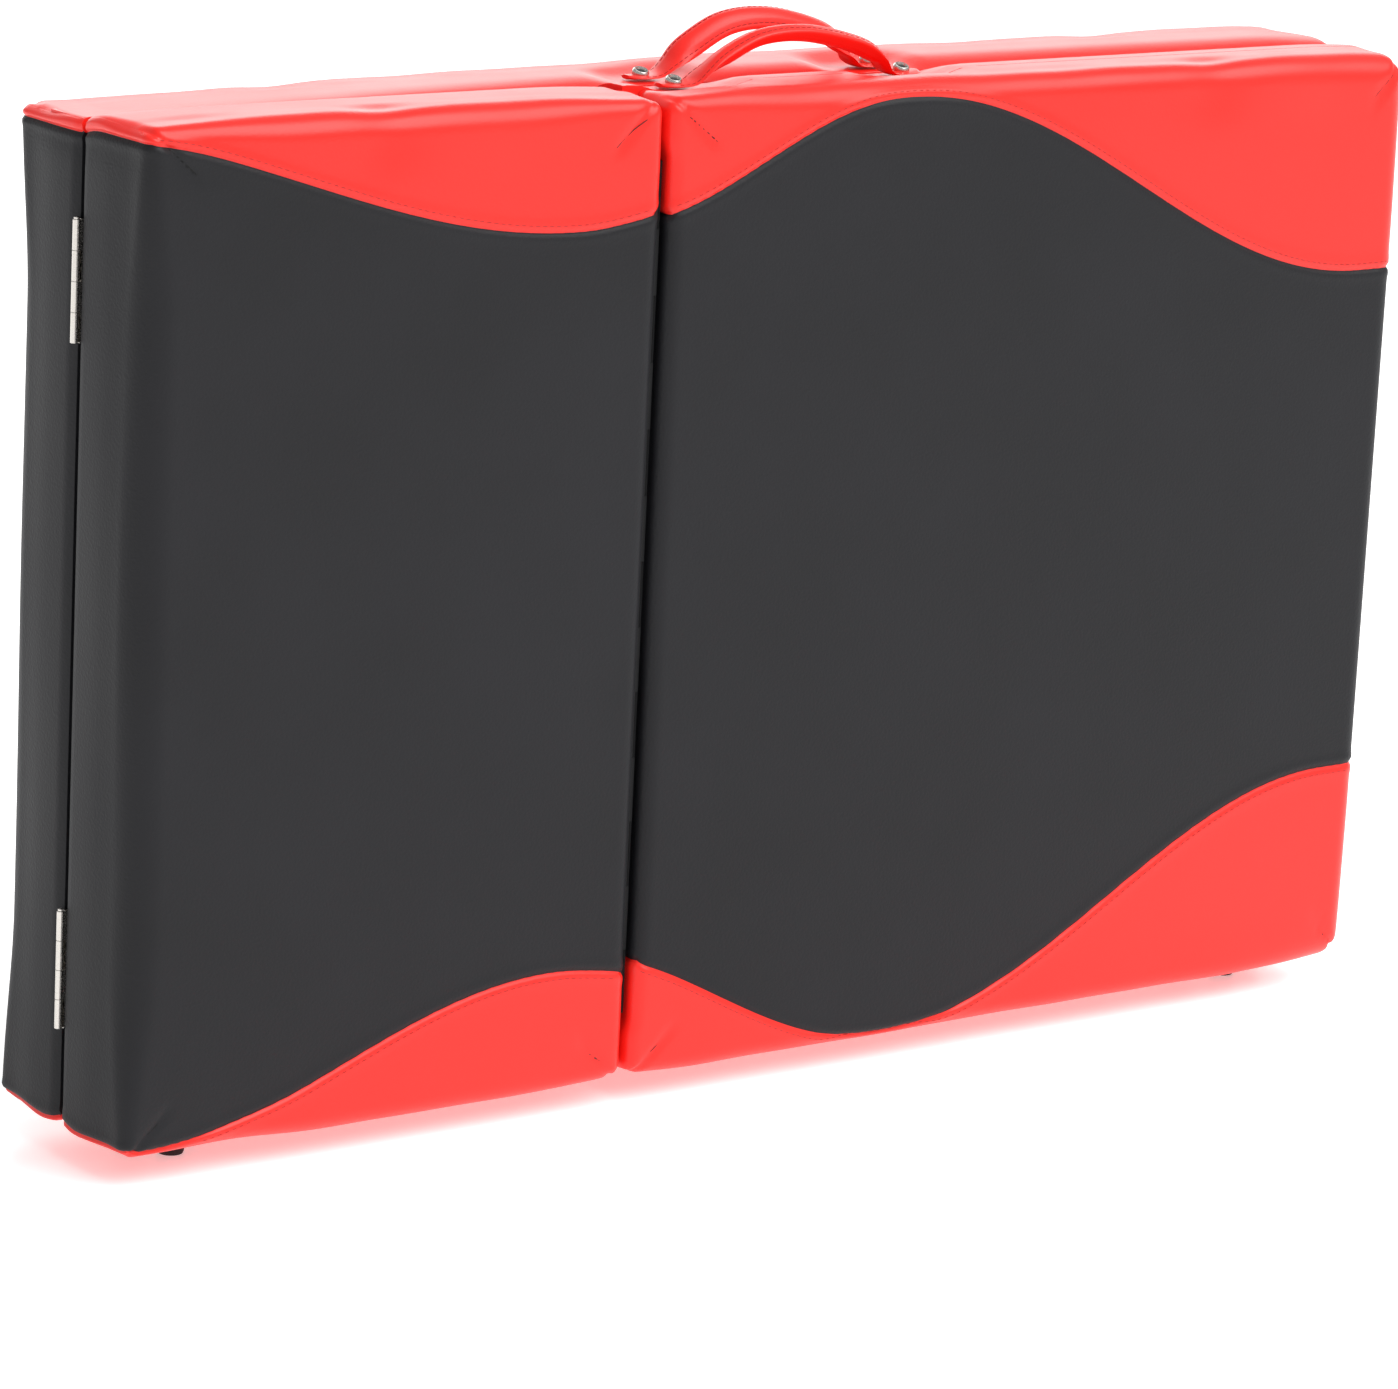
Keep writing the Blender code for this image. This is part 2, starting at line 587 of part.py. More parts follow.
def add_handle(half, side):
    """A rolled leather grip that flattens into a tab at each end."""
    path = handle_path(half)
    sections = 12
    loops = []
    rise = HANDLE_RISE[half]
    for index, point in enumerate(path):
        before = path[max(index - 1, 0)]
        after = path[min(index + 1, len(path) - 1)]
        along = (after - before).normalized()
        normal = Vector((-along.y, along.x))
        roll = min(max((point.y - 0.004) / (rise * 0.5), 0), 1)
        roll = roll * roll * (3 - 2 * roll)
        thick = 0.0014 + 0.0044 * roll
        wide = 0.0095 - 0.0015 * roll
        if index in (0, len(path) - 1):
            wide *= 0.6
        lift = thick - 0.0014
        centre = Vector((HANDLE_X + point.x, side * HANDLE_Y, TAB_Z + point.y + lift * 0.2))
        loop = []
        for step in range(sections):
            angle = 2 * math.pi * step / sections
            out = thick * math.sin(angle)
            loop.append(centre + Vector((normal.x * out, wide * math.cos(angle), normal.y * out)))
        loops.append(loop)
    shape = bmesh.new()
    add_loft(shape, loops)
    handle = part(f"{half}_handle", shape, "red_leather", half + "_half")
    holes = bmesh.new()
    tab_top = TAB_Z + 0.0040 + GAP
    for sign, end in ((-1, "left"), (1, "right")):
        spot = (HANDLE_X + sign * HANDLE_SPAN / 2, side * HANDLE_Y)
        add_turned(holes, solid_rod(0.0022, 0.02), (*spot, TAB_Z - 0.008), (0, 0, 1), 16)
        cup, screw = (bmesh.new() for _ in range(2))
        profile = [(0, 0), (0, 0.0060), (0.0006, 0.0062), (0.0019, 0.0048), (0.0022, 0.0038),
                   (0.0010, 0.0030), (0.0010, 0)]
        add_turned(cup, profile, (*spot, tab_top), (0, 0, 1), 20)
        profile = [(-0.0026, 0), (-0.0026, 0.0018), (0.0005, 0.0018), (0.0005, 0.0028),
                   (0.0018, 0.0027), (0.0026, 0.0016), (0.0026, 0)]
        add_turned(screw, profile, (*spot, tab_top), (0, 0, 1), 16)
        fixing = part(f"{half}_handle_screw_{end}", cup, "nickel", half + "_half")
        cut(fixing, screw, "UNION")
    cut(handle, holes)


def add_feet(half, side):
    top = Z_LOW + RAIL_INSET - GAP
    profile = [(0, 0), (0, FOOT_R * 0.80), (0.0015, FOOT_R * 0.86), (0.012, FOOT_R), (top, FOOT_R),
               (top, 0)]
    for sign, end in ((-1, "left"), (1, "right")):
        shape = bmesh.new()
        add_turned(shape, profile, (sign * FOOT_X, side * FOOT_Y, 0), (0, 0, 1), 20)
        part(f"{half}_foot_{end}", shape, "rubber", half + "_half")


def add_latch(number, z):
    """A small draw latch across the two halves at the free end, stored released."""
    floor = LATCH_FLOOR
    base, cheeks, strike, lip, rod, blade = (bmesh.new() for _ in range(6))
    add_box(base, (floor, -0.0240, z - 0.012), (floor + 0.0010, -0.0030, z + 0.012))
    for side in (-1, 1):
        add_box(cheeks, (floor + 0.0005, -0.0228, z + side * 0.0100),
                (floor + LATCH_HEIGHT, -0.0172, z + side * 0.0115))
    plate = part(f"latch_base_{number}", base, "nickel", "front_half")
    cut(plate, cheeks, "UNION")
    add_box(strike, (floor, 0.0030, z - 0.010), (floor + 0.0010, 0.0200, z + 0.010))
    add_box(lip, (floor + 0.0005, 0.0110, z - 0.006), (floor + 0.0040, 0.0122, z + 0.006))
    keeper = part(f"latch_strike_{number}", strike, "nickel", "rear_half")
    cut(keeper, lip, "UNION")
    add_turned(rod, solid_rod(0.0013, 0.0190), (LATCH_AXIS_X, LATCH_AXIS_Y, z - 0.0095), (0, 0, 1), 12)
    add_box(blade, (LATCH_AXIS_X - 0.0006, LATCH_AXIS_Y - 0.0006, z - 0.0080),
            (LATCH_AXIS_X + 0.0010, 0.0060, z + 0.0080))
    lever = part(f"latch_lever_{number}", rod, "nickel", f"latch_{number}")
    cut(lever, blade, "UNION")


def add_bodies():
    body("rear_half", (0, 0, 0))
    body("front_half", (HINGE_X, 0, Z_MID), "rear_half")
    body("backrest", (BACK_AXIS_X, BACK_AXIS_Y, Z_MID), "front_half")
    body("struts", (BACK_AXIS_X + STRUT_REACH, -STRUT_Y, Z_MID), "backrest")
    for number, sign in ((1, -1), (2, 1)):
        body(f"latch_{number}", (LATCH_AXIS_X, LATCH_AXIS_Y, Z_MID + sign * LATCH_LANE), "front_half")
    for half, side in (("rear", 1), ("front", -1)):
        y = side * LEG_Y
        body(half + "_legs", (LEG_AXIS_X, y, Z_MID), half + "_half")
        for end, sign in (("low", -1), ("high", 1)):
            z = Z_MID + sign * LEG_LANES[half]
            body(f"{half}_extension_{end}", (LEG_AXIS_X, y, z), half + "_legs")
            body(f"{half}_knob_{end}", (LEG_AXIS_X - KNOB_AT, y, z), half + "_legs")


def main():
    clear_scene()
    add_bodies()
    add_halves()
    for level, sign in (("upper", 1), ("lower", -1)):
        add_main_hinge(level, Z_MID + sign * HINGE_MID)
    add_backrest_hinge()
    for end, sign in (("low", -1), ("high", 1)):
        add_strut(end, sign)
    for half, side in (("rear", 1), ("front", -1)):
        add_legs(half, side)
        add_handle(half, side)
        add_feet(half, side)
    for number, sign in ((1, -1), (2, 1)):
        add_latch(number, Z_MID + sign * LATCH_LANE)


main()
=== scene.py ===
"""Looks of the folding treatment table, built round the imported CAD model."""
import json
import math

import bmesh
import bpy
import numpy as np
from mathutils import Matrix, Vector


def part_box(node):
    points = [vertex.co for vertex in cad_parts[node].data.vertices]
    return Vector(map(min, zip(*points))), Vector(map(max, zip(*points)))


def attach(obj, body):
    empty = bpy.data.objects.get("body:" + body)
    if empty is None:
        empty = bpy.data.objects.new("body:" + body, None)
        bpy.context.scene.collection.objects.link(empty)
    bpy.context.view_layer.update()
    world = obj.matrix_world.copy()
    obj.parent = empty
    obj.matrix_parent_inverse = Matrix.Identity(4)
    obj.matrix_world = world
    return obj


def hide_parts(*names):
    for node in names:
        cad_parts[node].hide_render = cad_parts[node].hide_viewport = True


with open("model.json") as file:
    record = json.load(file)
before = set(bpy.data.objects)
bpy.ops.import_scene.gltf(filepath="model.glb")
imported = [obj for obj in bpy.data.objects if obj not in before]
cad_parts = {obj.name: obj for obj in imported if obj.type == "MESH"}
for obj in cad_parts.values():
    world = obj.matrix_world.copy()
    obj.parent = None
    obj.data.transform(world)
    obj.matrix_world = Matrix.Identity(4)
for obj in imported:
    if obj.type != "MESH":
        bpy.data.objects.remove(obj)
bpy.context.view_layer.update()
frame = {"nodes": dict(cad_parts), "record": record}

# ---- Sizes, from the frame ---------------------------------------------------------------------
def middle(name):
    """Middle of a CAD node's box."""
    low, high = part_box(name)
    return (low + high) / 2


rear_low, rear_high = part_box("rear_cover")
seat_low, seat_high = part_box("seat_cover")
back_low, back_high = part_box("backrest_cover")
rail_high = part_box("rear_top_rail")[1]
X_LEFT, X_RIGHT = rear_low.x, rear_high.x
Z_LOW, Z_TOP = rear_low.z, rear_high.z
Z_MID = (Z_LOW + Z_TOP) / 2
FACE = rear_high.y                     # depth of the cushions' faces from the parting plane
HALF_BACK = rear_low.y                 # the rails' inner faces
COVER_BACK = HALF_BACK - 0.00022       # and the leather turned in over them
TUCKED = HALF_BACK - 0.00003           # the side of that leather which lies on the rails
DECK_BACK = rail_high.y                # the decks lie on the rails here
OVER_RAILS = DECK_BACK - 0.0002        # the rails' leather reaches from here to the parting plane
HEM, WALL_END = DECK_BACK + 0.0003, DECK_BACK + 0.0005     # the slot end's wall is hemmed at the deck
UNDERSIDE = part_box("rear_deck")[1].y + 0.0002  # the cushions lie on the decks
HANDLE_LEFT, HANDLE_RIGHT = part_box("rear_handle")[0].x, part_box("rear_handle")[1].x
HINGE_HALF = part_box("backrest_hinge_seat_leaf")[1].z - Z_MID    # half the length of the slot's hinge

SKIN = 0.0013                          # leather and backing
FLANGE = 0.012                         # leather turned in over the rails' inner faces
SKIRT_DROP = Z_TOP - rail_high.z - 0.0018      # from the cushion's top to the leather on the rails
END_DROP = 0.001                       # the same at the ends
MOST_DROP = 0.0069                     # the leather stays above the rails
SKIRT_ROUND = 0.004                    # round of the corners over the rails
CORNER_ROUND = 0.009                   # round at the cushions' corners
EDGE_ROUND = 0.022                     # half-way up the hinge end of the case
FREE_END_ROUND = 0.014                 # half-way up its other end
SLOT_ROUND = 0.011                     # and half-way up the sides of the slot
TOP_SOFTER, BOTTOM_SOFTER = 0.005, 0.002       # added to the round along the top and the bottom
FREE_SOFTER, FREE_ZONE = 0.007, (0.36, 0.45)   # and towards the free end, between these places
SOFTER_FROM_END, SOFTER_FROM_SIDE = 0.10, 0.12 # the round grows over these distances
ROUND_GROWS_FROM = 0.012               # depth where it starts to grow out of the skirt's round

VALLEY_START, VALLEY = 0.002, 0.022    # depths over which the skirt comes out to the cushion
TAB_VALLEY = (0.025, 0.054)            # and beside the handles' tabs
TAB_MIDDLE = 0.016                     # from a handle's end to the middle of its tab
TAB_REACH = (0.020, 0.046)             # the valley narrows again at these distances from there
RIM, RIM_DEPTH = 0.0010, 0.007         # the leather's edge rolls in at the parting plane
DROOP, DROOP_REACH = 0.0026, 0.06      # the cushions' corners droop
LIFT, LIFT_AT, LIFT_WIDTH = 0.0030, -0.395, 0.045      # the lower edges rise near the left foot
# How far the rear cushion's upper edge sags, along X.
REAR_SAG = ((-0.465, 0.0066), (-0.35, 0.0048), (-0.24, 0.0030), (-0.10, 0.0012), (0.0, 0.0))
NEAR_END = (0.03, 0.004)               # all this grows between these distances from an end
NEAR_SIDE = (0.035, 0.004)             # and from the upper and lower edges

HINGE_SWELL = 0.0018                   # the hinge end swells on both sides of the hinges
SWELL_FROM, SWELL_TO = (0.0022, 0.0060), (0.026, 0.058)
SEAT_LIP = 0.0046                      # the front cushions' lips over the hinge in the slot
BACK_LIP = 0.0010
LIP_DEPTHS = (0.0635, 0.0665)          # the lips grow over these depths
TIP_DEPTHS = (0.034, 0.040)            # and deeper down above and below the hinge
TIP_LENGTH, TIP_EXTRA = 0.014, 0.0022  # where the tilting cushion's lip also reaches further

CROWN = 0.0020                         # the faces bulge by this in the middle
RIPPLE, END_RIPPLE = 0.0009, 0.0008    # slow unevenness along the edges and up the ends
RIPPLED = (0.045, 0.008)               # this near to the edges
PINCH, PINCH_WIDTH = 0.0020, 0.022     # shallow pinches in the upper edges
PINCHES = (-0.307, 0.307)

# Distance of the wave seam from the cushion's upper and lower edges at its turning points, along X.
# A cushion may start or end between two of them, and the tilting one starts with its own.
WAVES = (((-0.550, -0.0005), (-0.175, 0.0765), (0.064, 0.009), (0.432, 0.138), (0.470, 0.138)),
         ((-0.465, 0.003), (-0.175, 0.0765), (0.078, 0.003), (0.432, 0.134), (0.470, 0.134)))
BACKREST_WAVES = (((-0.150, 0.0765),) + WAVES[0][2:], ((-0.175, 0.0875),) + WAVES[1][2:])
BAND_ROWS = 26                         # rows of each bright band
MIDDLE_ROWS = 84                       # and of the dark middle
ROUND_ROWS, WALL_ROWS, SKIRT_ROWS = 12, 8, 7   # from the face to the parting plane
WRAP_COLUMNS = 60
GROOVE_DEPTH, GROOVE_WIDTH = 0.0011, 0.0015    # the wave seam's groove
ROLL, ROLL_AT, ROLL_WIDTH = 0.00045, 0.0042, 0.0028    # and the soft roll on both sides of it
DART_END = 0.031                       # darts reach this far in from the corner
DART_DEPTH, DART_WIDTH = 0.0018, 0.0022
DART_SLANT = 0.93                      # the sewn line's fall for each step along X
DART_THREAD = 0.00050
DART_LINES = ((Z_TOP, -1, 0.013, DART_END), (Z_LOW, 1, 0.016, DART_END - 0.008))   # edge, way, from, to
STITCH_OFFSET = 0.0042                 # from the wave seam
STITCH_LENGTH, STITCH_PITCH = 0.0036, 0.0049
STITCH_FROM_EDGE = 0.0045              # the row stops this near to the cushion's edge
STITCH_THREAD = 0.00028
STITCH_RISE = np.array([-0.00015, 0.00022, -0.00015])  # of its start, middle and end over the leather

RED = (0.880, 0.018, 0.011)
BLACK = (0.0090, 0.0090, 0.0110)
TINY = 1e-6


def smooth(low, high, value):
    """Smooth step from 0 at low to 1 at high, which may be the smaller one."""
    t = np.clip((value - low) / (high - low), 0, 1)
    return t * t * (3 - 2 * t)


def near(edge, reach, value):
    """1 beside an edge and 0 far from it, between these two distances."""
    return smooth(*reach, np.abs(value - edge))


def bump(x, top, width):
    """Bell curve of height 1 round top."""
    return np.exp(-((x - top) / width) ** 2)


def wave(x, knots):
    """Distance of the two-tone seam from the edge at these places along X."""
    x = np.asarray(x, float)
    depth = np.full(x.shape, knots[0][1])
    for (x0, d0), (x1, d1) in zip(knots, knots[1:]):
        t = np.clip((x - x0) / (x1 - x0), 0, 1)
        depth = np.where(x >= x0, d0 + (d1 - d0) * (1 - np.cos(math.pi * t)) / 2, depth)
    return depth


def wave_slope(x, knots, step=0.001):
    return (wave(x + step, knots) - wave(x - step, knots)) / (2 * step)


# ---- Materials ---------------------------------------------------------------------------------
def new_material(name, colour, roughness, metallic=0.0, **sockets):
    made = bpy.data.materials.new(name)
    made.use_nodes = True
    shader = made.node_tree.nodes["Principled BSDF"]
    shader.inputs["Base Color"].default_value = (*colour, 1)
    shader.inputs["Roughness"].default_value = roughness
    shader.inputs["Metallic"].default_value = metallic
    for socket, value in sockets.items():
        shader.inputs[socket.replace("_", " ")].default_value = value
    made.diffuse_color = (*colour, 1)
    return made


def node(made, kind, **values):
    """A new node, with values for its sockets and its settings."""
    item = made.node_tree.nodes.new(kind)
    for key, value in values.items():
        if key in item.inputs:
            item.inputs[key].default_value = value
        else:
            setattr(item, key, value)
    return item


def link(made, source, target):
    made.node_tree.links.new(source, target)


def drive(made, socket, source):
    """Feeds a node's output into one socket of the material's shader."""
    link(made, source, made.node_tree.nodes["Principled BSDF"].inputs[socket])


def place(made, scale=(1, 1, 1)):
    """Object coordinates, in metres, stretched by scale."""
    source = node(made, "ShaderNodeTexCoord")
    mapping = node(made, "ShaderNodeMapping", Scale=scale)
    link(made, source.outputs["Object"], mapping.inputs["Vector"])
    return mapping.outputs["Vector"]


def noise(made, where, scale, detail=3.0, roughness=0.5):
    item = node(made, "ShaderNodeTexNoise", Scale=scale, Detail=detail, Roughness=roughness)
    link(made, where, item.inputs["Vector"])
    return item.outputs["Fac"]


def ramp(made, value, stops):
    """Colours between these stops, picked by value."""
    item = node(made, "ShaderNodeValToRGB")
    band = item.color_ramp
    while len(band.elements) < len(stops):
        band.elements.new(0.5)
    for element, (at, colour) in zip(band.elements, stops):
        element.position = at
        element.color = (*colour, 1)
    link(made, value, item.inputs["Fac"])
    return item.outputs["Color"]


def level(made, value, low, high):
    """A value between 0 and 1, spread from low to high."""
    item = node(made, "ShaderNodeMapRange")
    item.inputs["To Min"].default_value = low
    item.inputs["To Max"].default_value = high
    link(made, value, item.inputs["Value"])
    return item.outputs["Result"]


def add_bump(made, height, strength, distance, under=None):
    item = node(made, "ShaderNodeBump", Strength=strength, Distance=distance)
    link(made, height, item.inputs["Height"])
    if under is not None:
        link(made, under, item.inputs["Normal"])
    return item.outputs["Normal"]


def shade(colour, factor):
    return tuple(min(1.0, channel * factor) for channel in colour)


def leather(name, colour, roughness, grain, variation, gloss):
    """Synthetic leather: pebbled grain, fine pores, and slow changes of colour and gloss."""
    made = new_material(name, colour, roughness, Specular_IOR_Level=gloss, Coat_Weight=0.06,
                        Coat_Roughness=0.28)
    where = place(made)
    slow = noise(made, where, 9.0, 4.0, 0.55)
    pores = noise(made, where, 900.0, 2.0, 0.6)
    pebbles = node(made, "ShaderNodeTexVoronoi", feature="SMOOTH_F1", Scale=620.0)
    link(made, where, pebbles.inputs["Vector"])
    tones = (0.30, shade(colour, 1 - variation)), (0.70, shade(colour, 1 + variation))
    drive(made, "Base Color", ramp(made, slow, tones))
    drive(made, "Roughness", level(made, slow, roughness - 0.05, roughness + 0.06))
    rough = add_bump(made, pebbles.outputs["Distance"], grain, 0.0003)
    drive(made, "Normal", add_bump(made, pores, grain * 0.6, 0.0002, rough))
    return made


def wood(name, colour, dark, rings, along):
    """Wood grain: noise stretched along the board, with finer fibres in it."""
    made = new_material(name, colour, 0.5)
    where = place(made, along)
    grain = noise(made, where, rings, 6.0, 0.6)
    fibre = noise(made, where, rings * 9, 3.0, 0.6)
    drive(made, "Base Color", ramp(made, grain, ((0.35, dark), (0.62, colour))))
    drive(made, "Roughness", level(made, fibre, 0.42, 0.62))
    drive(made, "Normal", add_bump(made, fibre, 0.25, 0.0004))
    return made


def metal(name, colour, roughness, stretch=(1, 1, 1)):
    """Metal with fine wear, which stretch turns into brush marks."""
    made = new_material(name, colour, roughness, 1.0)
    brushed = noise(made, place(made, stretch), 700.0, 3.0, 0.6)
    drive(made, "Roughness", level(made, brushed, roughness - 0.06, roughness + 0.10))
    drive(made, "Normal", add_bump(made, brushed, 0.03, 0.0001))
    return made


def dull(name, colour, roughness, scale, strength):
    """Rubber, powder coat, foam, thread and moulded plastic: fine texture under a flat colour."""
    made = new_material(name, colour, roughness)
    speck = noise(made, place(made), scale, 4.0, 0.65)
    tones = (0.35, shade(colour, 0.8)), (0.7, shade(colour, 1.25))
    drive(made, "Base Color", ramp(made, speck, tones))
    drive(made, "Roughness", level(made, speck, roughness - 0.08, min(1.0, roughness + 0.08)))
    drive(made, "Normal", add_bump(made, speck, strength, 0.0005))
    return made


red_leather = leather("red_leather", RED, roughness=0.36, grain=0.16, variation=0.05, gloss=0.38)
black_leather = leather("black_leather", BLACK, roughness=0.54, grain=0.60, variation=0.16, gloss=0.24)
red_thread = dull("red_thread", (0.42, 0.014, 0.011), 0.7, 2500.0, 0.4)
black_thread = dull("black_thread", (0.003, 0.003, 0.003), 0.9, 2500.0, 0.4)
dark_screw = dull("dark_screw", (0.020, 0.019, 0.018), 0.5, 1500.0, 0.2)
# the darts' thread: far darker than the topstitching, so that it also paints the shade in the darts' creases
dart_thread_and_crease_shade = dull("dart_thread_and_crease_shade", (0.10, 0.006, 0.006), 0.8, 2500.0, 0.4)
SLOT_LOOKS = {
    "foam": dull("foam", (0.83, 0.78, 0.60), 0.95, 1200.0, 0.6),
    "plywood": wood("plywood", (0.63, 0.43, 0.24), (0.44, 0.27, 0.13), 14.0, (1, 6, 9)),
    "beech": wood("beech", (0.74, 0.52, 0.32), (0.58, 0.37, 0.20), 30.0, (0.5, 6, 6)),
    "nickel": metal("nickel", (0.62, 0.59, 0.55), 0.24),
    "black_steel": dull("black_steel", (0.008, 0.008, 0.009), 0.75, 1500.0, 0.3),
    "aluminium": metal("aluminium", (0.77, 0.78, 0.79), 0.30, (0.04, 1, 1)),
    "rubber": dull("rubber", (0.018, 0.018, 0.019), 0.78, 1200.0, 0.4),
    "plastic": dull("plastic", (0.030, 0.030, 0.032), 0.45, 1800.0, 0.4),
}


def dress_frame():
    """Better materials for the CAD nodes that stay."""
    slots = {item["node"]: item["material_slot"] for item in frame["record"]["subparts"]}
    for name, item in frame["nodes"].items():
        look = SLOT_LOOKS.get(slots[name])
        if look:
            item.data.materials.clear()
            item.data.materials.append(look)


# ---- Meshes ------------------------------------------------------------------------------------
def mesh_of(name, shape, *looks):
    """The finished bmesh as a mesh with these materials."""
    mesh = bpy.data.meshes.new(name)
    shape.to_mesh(mesh)
    shape.free()
    for look in looks:
        mesh.materials.append(look)
    return mesh


def add_object(name, mesh, body):
    mesh.shade_smooth()
    mesh.set_sharp_from_angle(angle=math.radians(50))
    made = bpy.data.objects.new(name, mesh)
    bpy.context.scene.collection.objects.link(made)
    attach(made, body)
    return made


def loft(shape, rings):
    """Faces from ring to ring, where a ring may be a single point, and a cap at each open end.
    Returns the faces band by band."""
    sides = max(len(ring) for ring in rings)
    bands = []
    for first, second in zip(rings, rings[1:]):
        band = []
        for step in range(sides):
            after = (step + 1) % sides
            corners = (first[step % len(first)], first[after % len(first)],
                       second[after % len(second)], second[step % len(second)])
            band.append(shape.faces.new(list(dict.fromkeys(corners))))
        bands.append(band)
    if len(rings[0]) > 1:
        bands[0].append(shape.faces.new(rings[0][::-1]))
        bands[-1].append(shape.faces.new(rings[-1]))
    return bands


def paint(bands, is_second):
    """Gives the second material to the bands for which is_second says so."""
    for index, band in enumerate(bands):
        for made in band:
            made.material_index = int(is_second(index))


def add_thread(shape, spots, radius, sides=5):
    """A short tube through these points, tapered at both ends."""
    rings = []
    last = len(spots) - 1
    for index, spot in enumerate(spots):
        before, after = spots[max(index - 1, 0)], spots[min(index + 1, last)]
        turn = (after - before).to_track_quat("Z", "Y").to_matrix()
        width = radius * (0.6 if index in (0, last) else 1.0)
        ring = []
        for step in range(sides):
            angle = 2 * math.pi * step / sides
            ring.append(spot + turn @ Vector((width * math.cos(angle), width * math.sin(angle), 0)))
        rings.append([shape.verts.new(point) for point in ring])
    return loft(shape, rings)


def lengths_along(line):
    """Distance from the line's start to each of its points."""
    return np.concatenate([[0], np.cumsum(np.linalg.norm(np.diff(line, axis=0), axis=1))])


def spaced(start, end, count, ends=0.5):
    """Places from start to end, closer together at both ends."""
    t = np.linspace(0, 1, count + 1)
    t = ends * (1 - np.cos(math.pi * t)) / 2 + (1 - ends) * t
    return start + (end - start) * t


# ---- Upholstery --------------------------------------------------------------------------------
class Pad:
    """One upholstered cushion. Its surface starts as the faces of a sharp box, whose points carry
    (x, depth, z, inset), and skin() turns them into the finished surface. The inset is 0 outside, and
    inside it says how far in a point lies."""

    def __init__(self, x0, x1, side, back, waves=WAVES, lips=(0.0, 0.0)):
        self.x0, self.x1, self.side, self.back = x0, x1, side, back
        self.waves, self.lips = waves, lips
        self.skirted = back < HALF_BACK        # the leather runs on over the rails
        self.open_end = self.skirted and lips[1] > 0
        self.rounds = (SLOT_ROUND if lips[0] else EDGE_ROUND, SLOT_ROUND if lips[1] else FREE_END_ROUND)

    def from_end(self, x):
        return np.minimum(x - self.x0, self.x1 - x)

    def skin(self, points):
        """The finished places of the sharp box's points."""
        if self.open_end:
            points = self.open_slot_end(points)
        spots, normal = self.rounded(points)
        left, right = (near(end, NEAR_END, spots[:, 0]) for end in (self.x0, self.x1))
        spots = self.pulled(*spots.T, left, right)
        spots[:, 0] += self.lip_shift(*spots.T, left, right)
        outside = spots + normal * self.relief(*spots.T, points)[:, None]
        placed = np.where(points[:, 3:] > 0, self.inner(points), outside)
        placed[:, 1] *= self.side
        return placed

    def rounding(self, x, z):
        """Radius of the edge nearest to this place: tight at corners, softer up the ends."""
        along = smooth(0.0, SOFTER_FROM_END, self.from_end(x))
        up = smooth(0.0, SOFTER_FROM_SIDE, np.minimum(z - Z_LOW, Z_TOP - z))
        softer = np.where(z > Z_MID, TOP_SOFTER, BOTTOM_SOFTER)
        end_round = np.where(x < (self.x0 + self.x1) / 2, *self.rounds)
        corner_round = CORNER_ROUND + FREE_SOFTER * smooth(*FREE_ZONE, x)
        return corner_round + softer * along * (1 - up) + (end_round - corner_round) * up * (1 - along)

    def rounded(self, points):
        """The box with rounded edges and corners, and its normals."""
        x, depth, z = points[:, :3].T
        edge = self.rounding(x, z)
        corner = SKIRT_ROUND + (edge - SKIRT_ROUND) * smooth(ROUND_GROWS_FROM, FACE - EDGE_ROUND, depth)
        low = np.stack([self.x0 + corner, np.full_like(x, -np.inf), Z_LOW + corner], axis=1)
        high = np.stack([self.x1 - corner, FACE - edge, Z_TOP - corner], axis=1)
        core = np.clip(points[:, :3], low, high)
        away = points[:, :3] - core
        normal = away / np.maximum(np.linalg.norm(away, axis=1, keepdims=True), 1e-9)
        return core + normal * corner[:, None], normal

    def pulled(self, x, y, z, left, right):
        """Pulls the leather in over the rails, and lets the edges droop, sag and swell."""
        top, bottom = (near(edge, NEAR_SIDE, z) for edge in (Z_TOP, Z_LOW))
        skirt = np.clip(1 - (y - VALLEY_START) / VALLEY, 0, 1) ** 2
        from_tab = np.minimum(np.abs(x - HANDLE_LEFT - TAB_MIDDLE), np.abs(x - HANDLE_RIGHT + TAB_MIDDLE))
        tabs = smooth(TAB_REACH[1], TAB_REACH[0], from_tab) * (z > Z_MID)
        skirt = skirt + (1 - smooth(*TAB_VALLEY, y) - skirt) * tabs
        rim = RIM * np.clip(1 - y / RIM_DEPTH, 0, 1) ** 2
        droop = DROOP * np.clip(1 - self.from_end(x) / DROOP_REACH, 0, 1) ** 2
        sag = np.interp(x, *zip(*REAR_SAG)) if self.side > 0 else np.zeros_like(x)
        lift = LIFT * bump(x, LIFT_AT, LIFT_WIDTH)
        drop = SKIRT_DROP * skirt + rim + droop * (1 - skirt)
        upper_drop = np.minimum(drop + sag * (1 - skirt), MOST_DROP)
        z = z - upper_drop * top + (drop + lift * (1 - skirt)) * bottom
        x = x + (END_DROP * skirt + rim) * (left - right)
        if self.x0 == X_LEFT:
            swell = smooth(*SWELL_FROM, y) * (1 - smooth(*SWELL_TO, y)) * (1 - 0.8 * top)
            x = x - HINGE_SWELL * swell * left
        return np.stack([x, y, z], axis=1)

    def lip_shift(self, x, y, z, left, right):
        """How far the lips over the slot's hinge move a place along X."""
        past_hinge = smooth(HINGE_HALF, HINGE_HALF + TIP_LENGTH, np.abs(z - Z_MID))
        tips = past_hinge * smooth(*TIP_DEPTHS, y)
        lip = np.maximum(smooth(*LIP_DEPTHS, y), tips)
        extra = TIP_EXTRA if self.lips[0] else 0.0
        return self.lips[1] * lip * right - (self.lips[0] * lip + extra * tips) * left

